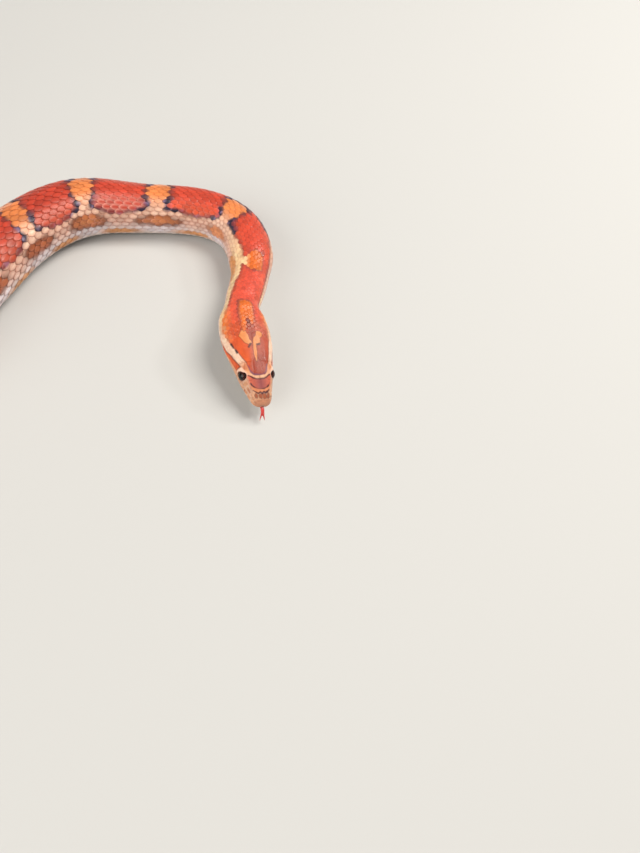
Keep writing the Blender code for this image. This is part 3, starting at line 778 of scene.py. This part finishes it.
NAPE_COUNT = 8
EDGES = np.concatenate([
    HEAD_LENGTH - NAPE_SPACING * np.arange(NAPE_COUNT, 0, -1),
    scute_edges(HEAD_LENGTH, VENT, VENTRALS, 1.0)[:-1],
    scute_edges(VENT, TAIL_TIP, SUBCAUDALS, 0.2),
])


def plate_spacing(s):
    """The length of one belly plate along the body."""
    middles = (EDGES[1:] + EDGES[:-1]) / 2
    return np.interp(s, middles, np.diff(EDGES))


# The small scales are shorter than the belly plates on the nape and neck
SCALE_SHARE = ((20, 0.70), (31, 0.72), (50, 0.84), (80, 1.0), (TAIL_TIP, 1.0))


def spacing_at(s):
    """The length of one small scale's turn along the body."""
    return plate_spacing(s) * smooth(SCALE_SHARE, s)


SINK = 0.045


def skin_lift(s, x):
    """Relief on the head, and the skin drawn in under the scales behind it."""
    covered = edge_of(s - smooth(SCALES_FROM, np.abs(x)) - 0.6, 1.2)
    lift = -SINK * spacing_at(s) * covered
    head = s < 30
    if head.any():
        up = height_of(s[head], x[head])
        lift[head] += head_relief(s[head], x[head], up)
    return lift


def build_mesh(name, points, faces, colours=None):
    """A smooth mesh object in the part's frame, with its colours on the points."""
    mesh = bpy.data.meshes.new(name)
    mesh.from_pydata(points, [], faces)
    mesh.shade_smooth()
    if colours is not None:
        layer = mesh.color_attributes.new("marks", "FLOAT_COLOR", "POINT")
        values = np.ones((len(points), 4), np.float32)
        values[:, :3] = np.clip(colours, 0, 1)
        layer.data.foreach_set("color", values.ravel())
    thing = bpy.data.objects.new(name, mesh)
    bpy.context.scene.collection.objects.link(thing)
    return thing


def make_skin():
    """One closed skin from the snout to the tail tip, twice as fine round the head."""
    fine, coarse = 224, 112
    head_at = np.concatenate([np.arange(0, 3, 0.1), np.arange(3, 7.9, 0.15),
                              np.arange(7.9, 11.2, 0.075), np.arange(11.2, 27.9, 0.15)])
    body_at = np.concatenate([np.arange(28, 60, 0.6), np.arange(60, 180, 1.2),
                              np.linspace(180, TAIL_TIP, 280)])
    rings = []
    for at, count in ((head_at, fine), (body_at, coarse)):
        share = np.arange(count) / count * 2 - 1
        s = np.repeat(at, count)
        x = np.tile(share, len(at)) * half_round(s)
        rings.append((s, x))
    s = np.concatenate([rings[0][0], rings[1][0]])
    x = np.concatenate([rings[0][1], rings[1][1]])
    points = on_skin(s, x, skin_lift(s, x))
    colours = marks(s, x)
    ends = place(np.array([-0.12, TAIL_TIP + 0.4]), np.zeros(2), np.array([2.7, 0.5])) * MM
    first_body = len(head_at) * fine
    faces = []

    def band(start, count):
        i = np.arange(count)
        j = (i + 1) % count
        return np.stack([start + i, start + j, start + count + j, start + count + i], -1)

    for ring in range(len(head_at) - 1):
        faces.extend(band(ring * fine, fine).tolist())
    last = (len(head_at) - 1) * fine
    for i in range(coarse):
        a, b, c = last + 2 * i, last + 2 * i + 1, last + (2 * i + 2) % fine
        d, e = first_body + i, first_body + (i + 1) % coarse
        faces.extend([[a, b, d], [b, e, d], [b, c, e]])
    for ring in range(len(body_at) - 1):
        faces.extend(band(first_body + ring * coarse, coarse).tolist())
    snout, tip = len(points), len(points) + 1
    for i in range(fine):
        faces.append([snout, (i + 1) % fine, i])
    final = first_body + (len(body_at) - 1) * coarse
    for i in range(coarse):
        faces.append([final + i, final + (i + 1) % coarse, tip])
    points = np.concatenate([points, ends])
    colours = np.concatenate([colours, colours[:1], colours[-1:]])
    return build_mesh("skin", points, faces, colours)


class Flow:
    """A value in a material's node tree that takes part in plain sums."""

    def __init__(self, tree, socket):
        self.tree, self.socket = tree, socket

    def math(self, operation, *values):
        return node(self.tree, "ShaderNodeMath", {"operation": operation}, (self, *values))

    def __add__(self, other):
        return self.math("ADD", other)

    __radd__ = __add__

    def __sub__(self, other):
        return self.math("SUBTRACT", other)

    def __rsub__(self, other):
        return node(self.tree, "ShaderNodeMath", {"operation": "SUBTRACT"}, (other, self))

    def __mul__(self, other):
        return self.math("MULTIPLY", other)

    __rmul__ = __mul__


def node(tree, kind, settings=(), values=(), output=0):
    """A node with its settings and socket values, as a flow from one of its outputs."""
    made = tree.nodes.new(kind)
    for name, value in dict(settings).items():
        setattr(made, name, value)
    pairs = values.items() if isinstance(values, dict) else enumerate(values)
    for key, value in pairs:
        if isinstance(value, Flow):
            tree.links.new(value.socket, made.inputs[key])
        else:
            made.inputs[key].default_value = value
    return Flow(tree, made.outputs[output])


def new_material(name):
    """A material with its node tree and its main shader."""
    material = bpy.data.materials.new(name)
    material.use_nodes = True
    return material, material.node_tree, material.node_tree.nodes["Principled BSDF"]


def horn(name, roughness, coat, mottle, bump, fineness):
    """Scales and skin: the marks, a fine mottle, and a clear horny layer over them."""
    material, tree, shader = new_material(name)
    colour = node(tree, "ShaderNodeAttribute", {"attribute_name": "marks"})
    where = node(tree, "ShaderNodeTexCoord", output="Object")
    patches = node(tree, "ShaderNodeTexNoise", values={"Vector": where, "Scale": fineness,
                                                       "Detail": 3.0})
    grains = node(tree, "ShaderNodeTexNoise", values={"Vector": where, "Scale": fineness * 5,
                                                      "Detail": 2.0})
    dark = node(tree, "ShaderNodeMix", {"data_type": "RGBA", "blend_type": "MULTIPLY"},
                {0: (patches * 2 - 0.55) * mottle, 6: colour, 7: (0.62, 0.5, 0.46, 1)}, 2)
    tree.links.new(dark.socket, shader.inputs["Base Color"])
    rough = roughness - 0.08 + 0.16 * grains
    tree.links.new(rough.socket, shader.inputs["Roughness"])
    dents = node(tree, "ShaderNodeBump", values={"Strength": bump, "Distance": 0.0002,
                                                 "Height": grains + patches * 0.5})
    tree.links.new(dents.socket, shader.inputs["Normal"])
    shader.inputs["Coat Weight"].default_value = coat
    shader.inputs["Coat Roughness"].default_value = 0.16
    shader.inputs["Specular IOR Level"].default_value = 0.28
    shader.inputs["Subsurface Weight"].default_value = 0.06
    shader.inputs["Subsurface Radius"].default_value = (0.002, 0.0008, 0.0005)
    shader.inputs["Subsurface Scale"].default_value = 1.0
    return material


skin = make_skin()
skin.data.materials.append(horn("skin_shields", 0.42, 0.1, 0.5, 0.25, 900.0))
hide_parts("head", "lower_jaw", "neck", *[f"body_{i}" for i in range(1, 15)],
            *[f"tail_{i}" for i in range(1, 4)])
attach(skin, "root")

# The small scales of the back and sides
#
# Lance-shaped horny plates in 27 rows, each over the roots of the two behind it, weakly
# keeled along the back and smooth lower down. The rows fall to 21 at the vent and to a few
# at the tail tip, and the lowest rows are the widest.
ROWS_HALF = ((20, 13.5), (600, 13.5), (VENT, 10.5), (940, 8.0), (1000, 6.0), (1050, 4.5),
             (TAIL_TIP, 3.5))

# One scale: lengths in turns from its centre, half widths, and heights, as shares of a turn
SCALE_ALONG = (-0.50, -0.22, 0.06, 0.30, 0.50, 0.64)
SCALE_WIDE = (0.38, 0.62, 0.72, 0.60, 0.36, 0.10)
SCALE_RISE = (-0.060, -0.034, -0.012, 0.002, 0.010, 0.010)
SCALE_RIM = (0.0, 0.0, 0.0, 0.1, 0.6, 1.0)
SCALE_ACROSS = (-1.0, -0.7, 0.0, 0.7, 1.0)
SCALE_DROOP = 0.008
SCALE_THICK = 0.020
KEEL = 0.022
KEELED_WAY = 0.72
SCALE_PIECES = 5

# How much single scales differ in size and turn, in tilt and in shade, and the share of its
# own place that a scale takes its colours from, so that each is nearly of one colour
SCALE_VARY = 0.04
SCALE_TILT = 0.012
SCALE_SHADE = 0.09
SCALE_TONE = 0.45

# The map for painting: the body cut into strips side by side, and the size of a plate on it
MAP_STRIPS = 10
MAP_SIZE = 0.0015


def scale_seats():
    """Where each small scale sits: distance from the snout, row and place round the body."""
    seats = []
    fine = np.arange(EDGES[0], TAIL_TIP, 0.25)
    passed = np.concatenate([[0], np.cumsum(0.25 / spacing_at(fine[:-1] + 0.125))])
    for row in range(-20, 21):
        count = np.arange(int(passed[-1])) + 0.5 * (row % 2)
        s = np.interp(count, passed, fine)
        rows = smooth(ROWS_HALF, s)
        x = row * belly_edge(s) / rows
        limit = np.where(s < HEAD_LENGTH - 1, 0.94 * half_round(s) * rows / belly_edge(s), rows)
        kept = (np.abs(row) <= limit - 0.5) & (s > smooth(SCALES_FROM, np.abs(x)) + 0.6)
        kept &= s < TAIL_TIP - 1.5
        seats.extend(zip(s[kept], np.full(kept.sum(), row), x[kept]))
    return np.array(sorted(seats))


# Along the body: how dark the rims of the red scales are, partly their own dark edges and partly
# painted shade in the gaps between scales, and how clear the net of pink rims is on the lower
# half of the saddles, partly their own pink and partly a painted highlight where light catches
# the scale edges
RIM_DARK_AND_SHADE = ((100, 0.0), (137, 0.1), (145, 1.0), (TAIL_TIP, 0.7))
RIM_HIGHLIGHT_NET = ((60, 0.1), (109, 0.3), (113, 1.0), (134, 1.0), (139, 0.3), (TAIL_TIP, 0.4))


def rim_tint(s, x, colour):
    """The colour of a scale's rim: on the saddles darker, partly painted shade, or pink, partly a
    painted highlight; brown on the flank.
    """
    way = np.abs(x - smooth(MID_LINE, s)) / belly_edge(s)
    red = np.clip((colour[..., 0] - 2.2 * colour[..., 1]) / 0.3, 0, 1)
    pale = np.clip((colour[..., 1] - 0.3) / 0.1, 0, 1)
    # Darker rims of the red scales further back: partly their own dark edges, partly painted shade
    # in the gaps between scales
    dark = red * smooth(RIM_DARK_AND_SHADE, s)
    rim = colour * (0.95 - dark[..., None] * np.array([0.2, 0.26, 0.26]))
    # Pink rims on the lower half of the saddles: partly their own pink, partly a painted highlight
    # where light catches the scale edges
    net = smooth(RIM_HIGHLIGHT_NET, s)
    rim = paint(rim, RIM_PINK_AND_HIGHLIGHT, 0.9 * red * net * edge_of(way - 0.2, 0.12))
    tone = 0.8 * pale * edge_of(0.8 - way, 0.15) * edge_of(way - 0.34, 0.08)
    return paint(rim, RIM_BROWN, tone * edge_of(s - 68, 20))


def leaf(along, wide, rise, across, droop, thick, rim_along):
    """Points of one plate, upper side then rim below, and its faces."""
    rows, columns = len(along), len(across)
    v = np.repeat(along, columns)
    w = np.tile(across, rows) * np.repeat(wide, columns)
    h = np.repeat(rise, columns) - droop * np.tile(across, rows) ** 2
    rim = (
        list(range(columns))
        + [i * columns + columns - 1 for i in range(1, rows - 1)]
        + list(range(rows * columns - 1, (rows - 1) * columns - 1, -1))
        + [i * columns for i in range(rows - 2, 0, -1)]
    )
    faces = []
    for i in range(rows - 1):
        for j in range(columns - 1):
            a = i * columns + j
            faces.append((a, a + columns, a + columns + 1, a + 1))
    low = rows * columns
    size = len(rim)
    for i in range(size):
        j = (i + 1) % size
        faces.append((rim[i], rim[j], low + j, low + i))
    under = [low + k for k in range(size)]
    right = under[columns - 1:columns + rows - 1]
    left = [under[0]] + under[2 * columns + rows - 3:][::-1]
    for i in range(rows - 1):
        faces.append((left[i], right[i], right[i + 1], left[i + 1]))
    v = np.concatenate([v, v[rim]])
    w = np.concatenate([w, w[rim] * 0.97])
    h = np.concatenate([h, h[rim] - thick])
    out = np.maximum(np.tile(np.abs(across) ** 2, rows), np.repeat(rim_along, columns))
    out = np.concatenate([out, np.ones(size)])
    return v, w, h, out, faces


def plate_mesh(name, s, x, s_seat, x_seat, lift, colours, faces, per, local):
    """Joined plates: faces of one plate repeated, colours, and the map for painting."""
    count = len(s) // per
    points = on_skin(s, x, lift)
    faces = np.array([face + (face[-1],) * (4 - len(face)) for face in faces])
    offsets = (np.arange(count) * per)[:, None, None]
    all_faces = (faces[None] + offsets).reshape(-1, 4).tolist()
    thing = build_mesh(name, points, all_faces, colours)
    strip = TAIL_TIP / MAP_STRIPS
    turn = s_seat / strip
    u = turn - np.floor(turn)
    v = (np.floor(turn) + (x_seat / half_round(s_seat) + 1) / 2) / MAP_STRIPS
    uv = np.stack([u + local[0] * MAP_SIZE, v + local[1] * MAP_SIZE], -1)
    layer = thing.data.uv_layers.new(name="OFBake")
    corners = np.empty(len(thing.data.loops), np.int32)
    thing.data.loops.foreach_get("vertex_index", corners)
    layer.uv.foreach_set("vector", uv[corners].astype(np.float32).ravel())
    return thing


def make_scales():
    rng = np.random.default_rng(7)
    seats = scale_seats()
    v, w, h, out, faces = leaf(np.array(SCALE_ALONG), np.array(SCALE_WIDE),
                               np.array(SCALE_RISE), np.array(SCALE_ACROSS),
                               SCALE_DROOP, SCALE_THICK, np.array(SCALE_RIM))
    per = len(v)
    made = []
    for part, chosen in enumerate(np.array_split(seats, SCALE_PIECES)):
        s_seat, row, x_seat = (np.repeat(chosen[:, k], per) for k in range(3))
        count = len(chosen)
        turn = np.repeat(spacing_at(chosen[:, 0]), per)
        wide = belly_edge(s_seat) / smooth(ROWS_HALF, s_seat)
        grown = np.repeat(1 + SCALE_VARY * rng.standard_normal(count), per)
        spin = np.repeat(SCALE_VARY * rng.standard_normal(count), per)
        along = np.tile(v, count) * grown
        across = np.tile(w, count) * grown
        s = s_seat + along * turn - spin * across * wide
        x = x_seat * (belly_edge(s) / smooth(ROWS_HALF, s)) / wide + across * wide
        x = x + spin * along * turn * 0.5
        way = np.abs(x_seat) / belly_edge(s_seat)
        lift = np.tile(h, count) * turn
        ridge = np.tile((np.abs(w) < 0.01) & (v > -0.4) & (v < 0.5), count)
        lift = lift + ridge * KEEL * turn * edge_of(KEELED_WAY - way, 0.2)
        tilt = np.repeat(SCALE_TILT * rng.standard_normal(count), per)
        lift = lift + tilt * along * turn
        seen_s = s_seat + SCALE_TONE * (s - s_seat)
        seen_x = x_seat + SCALE_TONE * (x - x_seat)
        limit = half_round(seen_s) * 0.999
        colour = marks(seen_s, np.clip(seen_x, -limit, limit))
        shade = np.repeat(1 + SCALE_SHADE * rng.standard_normal(count), per)[:, None]
        colour = colour * shade
        rim = rim_tint(seen_s, seen_x, colour)
        colour = paint(colour, rim, 0.9 * np.tile(out, count))
        made.append(plate_mesh(f"scales_{part + 1}", s, x, s_seat, x_seat, lift, colour,
                               faces, per, (np.tile(v, count), np.tile(w, count))))
    return made


scale_horn = horn("scale_horn", 0.4, 0.2, 0.4, 0.2, 1400.0)
for scales in make_scales():
    scales.data.materials.append(scale_horn)
    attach(scales, "root")

# Belly plates
#
# Wide smooth plates, one to a vertebra, go right across the belly and turn up at the sides
# under the lowest row of small scales. Under the tail they are in pairs.
PLATE_ALONG = (-0.42, -0.1, 0.25, 0.52, 0.6)
PLATE_RISE = (-0.12, -0.08, -0.03, 0.0, -0.006)
PLATE_THICK = 0.045


def make_belly_plates():
    rng = np.random.default_rng(11)
    across = np.linspace(-1, 1, 15)
    made = []
    middles = (EDGES[1:] + EDGES[:-1]) / 2
    belly = middles[(middles > 26.5) & (middles < VENT)]
    tail = middles[middles > VENT]
    for name, centres, sides in (("belly_plates", belly, (0,)), ("tail_plates", tail, (1, -1))):
        columns = across if sides == (0,) else across[::2]
        v, w, h, out, faces = leaf(np.array(PLATE_ALONG), np.ones(5), np.array(PLATE_RISE),
                                   columns, 0.0, PLATE_THICK, np.zeros(5))
        per = len(v)
        s_seat = np.repeat(np.concatenate([centres for side in sides]), per)
        side = np.repeat(np.concatenate([np.full(len(centres), k) for k in sides]), per)
        count = len(s_seat) // per
        turn = plate_spacing(s_seat)
        along, over = np.tile(v, count), np.tile(w, count)
        reach = half_round(s_seat) - belly_edge(s_seat) + 0.35
        s = s_seat + along * turn - np.where(side == 0, 0.10, 0.2) * turn * np.abs(over) ** 2
        s = s + side * 0.2 * turn
        from_middle = np.where(side == 0, over * reach, side * (over + 1.03) / 2 * reach)
        x = np.where(from_middle >= 0, 1, -1) * (half_round(s) - np.abs(from_middle))
        lift = np.tile(h, count) * turn
        colour = marks(s_seat + 0.25 * (s - s_seat), x)
        shade = np.repeat(1 + 0.04 * rng.standard_normal(count), per)[:, None]
        rear = edge_of(along - 0.48, 0.06)
        colour = paint(colour * shade, colour * np.array([0.74, 0.68, 0.64]), 0.6 * rear)
        x_seat = np.repeat(x[::per], per)
        plates = plate_mesh(name, s, x, s_seat, x_seat, lift, colour, faces, per,
                            (along, over))
        made.append(plates)
    return made


plate_horn = horn("plate_horn", 0.32, 0.3, 0.25, 0.15, 700.0)
for plates in make_belly_plates():
    plates.data.materials.append(plate_horn)
    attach(plates, "root")

# The eyes
#
# Each eye is a dark round ball under a clear fixed scale, with a wide round pupil in a
# red-brown iris. It looks out to the side and a little forward and up.
PUPIL = 40.0
IRIS = 50.0
SIGHT = (-0.9, 3.0, 0.5)
PUPIL_BLACK = tint(12, 8, 8)
IRIS_DARK = tint(48, 16, 10)
IRIS_LIGHT = tint(110, 38, 22)
EYE_OUTER = tint(36, 16, 14)


def make_eye(name, side):
    """A ball whose rings run round the line of sight, coloured by the angle from it."""
    at, across, up = EYE_AT
    centre = place(np.array([at]), np.array([side * across]), np.array([up]))[0]
    ahead = place(np.array([at + SIGHT[0]]), np.array([side * (across + SIGHT[1])]),
                  np.array([up + SIGHT[2]]))[0]
    sight = (ahead - centre) / np.linalg.norm(ahead - centre)
    flat = np.cross(sight, (0, 0, 1.0))
    flat /= np.linalg.norm(flat)
    upright = np.cross(flat, sight)
    rings, columns = 40, 48
    turns = np.radians(np.linspace(0, 180, rings + 1))[1:-1]
    rounds = np.arange(columns) / columns * 2 * math.pi
    points, colours = [], []
    for turn in turns:
        bulge = 0.06 * math.exp(-(turn / 0.7) ** 2)
        for way in rounds:
            out = sight * math.cos(turn)
            out = out + (flat * math.cos(way) + upright * math.sin(way)) * math.sin(turn)
            points.append((centre + out * (EYE_RADIUS + bulge)) * MM)
            angle = math.degrees(turn)
            ray = 0.5 + 0.5 * math.sin(way * 23) * math.sin(way * 9 + 1)
            iris = paint(IRIS_DARK, IRIS_LIGHT, np.array(0.5 * ray))
            colour = paint(PUPIL_BLACK, iris, edge_of(np.array(angle - PUPIL), 3.0))
            colour = paint(colour, EYE_OUTER, edge_of(np.array(angle - IRIS), 5.0))
            colours.append(colour)
    poles = [(centre + sight * (EYE_RADIUS + 0.06)) * MM, (centre - sight * EYE_RADIUS) * MM]
    points.extend(poles)
    colours.extend([PUPIL_BLACK, EYE_OUTER])
    faces = []
    for ring in range(len(turns) - 1):
        for i in range(columns):
            j = (i + 1) % columns
            a, b = ring * columns, (ring + 1) * columns
            faces.append((a + i, b + i, b + j, a + j))
    first, last = len(points) - 2, len(points) - 1
    end = (len(turns) - 1) * columns
    for i in range(columns):
        j = (i + 1) % columns
        faces.append((first, i, j))
        faces.append((last, end + j, end + i))
    return build_mesh(name, points, faces, np.array(colours))


def wet_eye():
    """The dark eye seen through a wet clear layer."""
    material, tree, shader = new_material("eye_wet")
    colour = node(tree, "ShaderNodeAttribute", {"attribute_name": "marks"})
    tree.links.new(colour.socket, shader.inputs["Base Color"])
    where = node(tree, "ShaderNodeTexCoord", output="Object")
    film = node(tree, "ShaderNodeTexNoise", values={"Vector": where, "Scale": 1200.0})
    tree.links.new((0.06 + 0.06 * film).socket, shader.inputs["Roughness"])
    shader.inputs["Coat Weight"].default_value = 0.25
    shader.inputs["Coat Roughness"].default_value = 0.03
    shader.inputs["Specular IOR Level"].default_value = 0.2
    return material


eye_wet = wet_eye()
for name, side in (("eye_right", 1), ("eye_left", -1)):
    eye = make_eye(name + "_look", side)
    eye.data.materials.append(eye_wet)
    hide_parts(name)
    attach(eye, "root")

# The tongue
#
# A thin flat red tongue comes out through the notch of the lip, bends down and forks.
TONGUE_RED = tint(214, 72, 66)
TONGUE_DARK = tint(182, 44, 46)
TONGUE_WIDTH = 1.45
TONGUE_THICK = 0.56
TONGUE_PATH = ((1.9, 0.0, 1.95), (0.0, 0.0, 1.95), (-1.2, 0.0, 1.4), (-2.1, 0.1, 0.5))
FORK_TIPS = ((-3.1, 0.9, -0.8), (-3.2, -0.6, -0.7))


def tube(path, wide, thick, rounds):
    """A flattened tube along a path of head places, closed at both ends."""
    points, faces = [], []
    for (s, across, up), half, deep in zip(path, wide, thick):
        for k in range(rounds):
            turn = 2 * math.pi * k / rounds
            spot = (s, across + half * math.cos(turn), up + deep * math.sin(turn))
            points.append(place(*(np.array([value]) for value in spot))[0] * MM)
    for ring in range(len(path) - 1):
        for k in range(rounds):
            a, b = ring * rounds, (ring + 1) * rounds
            j = (k + 1) % rounds
            faces.append((a + k, a + j, b + j, b + k))
    faces.append(tuple(range(rounds))[::-1])
    faces.append(tuple((len(path) - 1) * rounds + k for k in range(rounds)))
    return points, faces


def make_tongue():
    steps = np.linspace(0, 1, 15)
    keys = np.array(TONGUE_PATH)
    at = np.concatenate([[0], np.cumsum(np.linalg.norm(np.diff(keys, axis=0), axis=1))])
    stem = [tuple(float(smooth(list(zip(at, keys[:, k])), at[-1] * t)) for k in range(3))
            for t in steps]
    half = TONGUE_WIDTH / 2 * (1 - 0.25 * steps)
    deep = TONGUE_THICK / 2 * (1 - 0.2 * steps)
    points, faces = tube(stem, half, deep, 16)
    for tip, side in zip(FORK_TIPS, (1, -1)):
        root, start = np.array(stem[-3]), np.array(stem[-1])
        root = root + (0, side * half[-3] * 0.42, 0)
        start = start + (0, side * half[-1] * 0.5, 0)
        way = np.linspace(0, 1, 14)
        bend = [tuple(root + (start - root) * min(1, t * 3) + (np.array(tip) - start)
                      * max(0, (t - 1 / 3) * 1.5) + (0, side * 0.12 * math.sin(math.pi * t), 0))
                for t in way]
        taper = 1 - 0.85 * way ** 1.3
        more, sides = tube(bend, 0.36 * taper, 0.25 * taper, 12)
        start_at = len(points)
        points.extend(more)
        faces.extend(tuple(start_at + k for k in face) for face in sides)
    return build_mesh("tongue_look", points, faces)


def moist_red():
    """Red flesh, darker in patches, wet all over."""
    material, tree, shader = new_material("tongue_moist")
    where = node(tree, "ShaderNodeTexCoord", output="Object")
    patches = node(tree, "ShaderNodeTexNoise", values={"Vector": where, "Scale": 900.0})
    colour = node(tree, "ShaderNodeMix", {"data_type": "RGBA"},
                  {0: patches, 6: (*TONGUE_RED, 1), 7: (*TONGUE_DARK, 1)}, 2)
    tree.links.new(colour.socket, shader.inputs["Base Color"])
    tree.links.new((0.35 + 0.15 * patches).socket, shader.inputs["Roughness"])
    shader.inputs["Coat Weight"].default_value = 0.3
    shader.inputs["Coat Roughness"].default_value = 0.12
    shader.inputs["Subsurface Weight"].default_value = 0.1
    shader.inputs["Subsurface Radius"].default_value = (0.002, 0.0006, 0.0004)
    return material


tongue = make_tongue()
tongue.data.materials.append(moist_red())
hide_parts("tongue")
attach(tongue, "root")

# Floor, light and camera
#
# A pale plain floor, a broad warm light from the upper right with a small bright one below it
# for the glints, a wide soft one from the front left, and a camera above and before the head.
bpy.ops.mesh.primitive_plane_add(size=6.0, location=(0, 0, -0.0002))
floor = bpy.context.object
floor.name = "floor"
floor_paper, tree, paper = new_material("floor_paper")
paper.inputs["Base Color"].default_value = (0.60, 0.61, 0.62, 1)
paper.inputs["Roughness"].default_value = 0.8
floor.data.materials.append(floor_paper)


def area_light(name, place_at, aim_at, size, power, colour):
    data = bpy.data.lights.new(name, "AREA")
    data.size = size
    data.energy = power
    data.color = colour
    light = bpy.data.objects.new(name, data)
    bpy.context.scene.collection.objects.link(light)
    light.location = place_at
    out = np.array(place_at) - np.array(aim_at)
    out /= np.linalg.norm(out)
    right = np.cross((0, 0, 1.0), out)
    right /= np.linalg.norm(right)
    upright = np.cross(out, right)
    matrix = np.eye(4)
    matrix[:3, 0], matrix[:3, 1], matrix[:3, 2], matrix[:3, 3] = right, upright, out, place_at
    light.matrix_world = matrix.T.tolist()
    return light


key = area_light("key", (0.75, 0.35, 0.95), (0.25, 0.0, 0.0), 0.6, 10.6, (1.0, 0.94, 0.84))
spark = area_light("spark", (0.95, 0.42, 0.55), (0.25, 0.0, 0.0), 0.1, 1.5, (1.0, 0.96, 0.9))
fill = area_light("fill", (-0.3, -0.75, 0.5), (0.2, 0.0, 0.0), 0.9, 8.0, (1.0, 0.95, 0.86))
world = bpy.data.worlds.new("studio")
world.use_nodes = True
world.node_tree.nodes["Background"].inputs["Color"].default_value = (1.0, 0.96, 0.9, 1)
world.node_tree.nodes["Background"].inputs["Strength"].default_value = 0.34
bpy.context.scene.world = world
bpy.context.scene.view_settings.view_transform = "Standard"

CAMERA_AT = (0.31792, -0.17846, 0.1925)
FORWARD = np.array((0.0, 0.5563, -0.8310))
ROLL = 13.1
FOCAL_PIXELS = 720
IMAGE_HEIGHT = 853
lens = bpy.data.cameras.new("camera")
lens.sensor_width = 36.0
lens.lens = FOCAL_PIXELS / IMAGE_HEIGHT * lens.sensor_width
lens.clip_start = 0.01
camera = bpy.data.objects.new("camera", lens)
bpy.context.scene.collection.objects.link(camera)
level = np.array((1.0, 0.0, 0.0))
raised = np.cross(level, FORWARD)
turn = math.radians(ROLL)
rightward = level * math.cos(turn) + raised * math.sin(turn)
upward = raised * math.cos(turn) - level * math.sin(turn)
pose = np.eye(4)
pose[:3, 0], pose[:3, 1], pose[:3, 2], pose[:3, 3] = rightward, upward, -FORWARD, CAMERA_AT
camera.matrix_world = pose.T.tolist()
bpy.context.scene.camera = camera
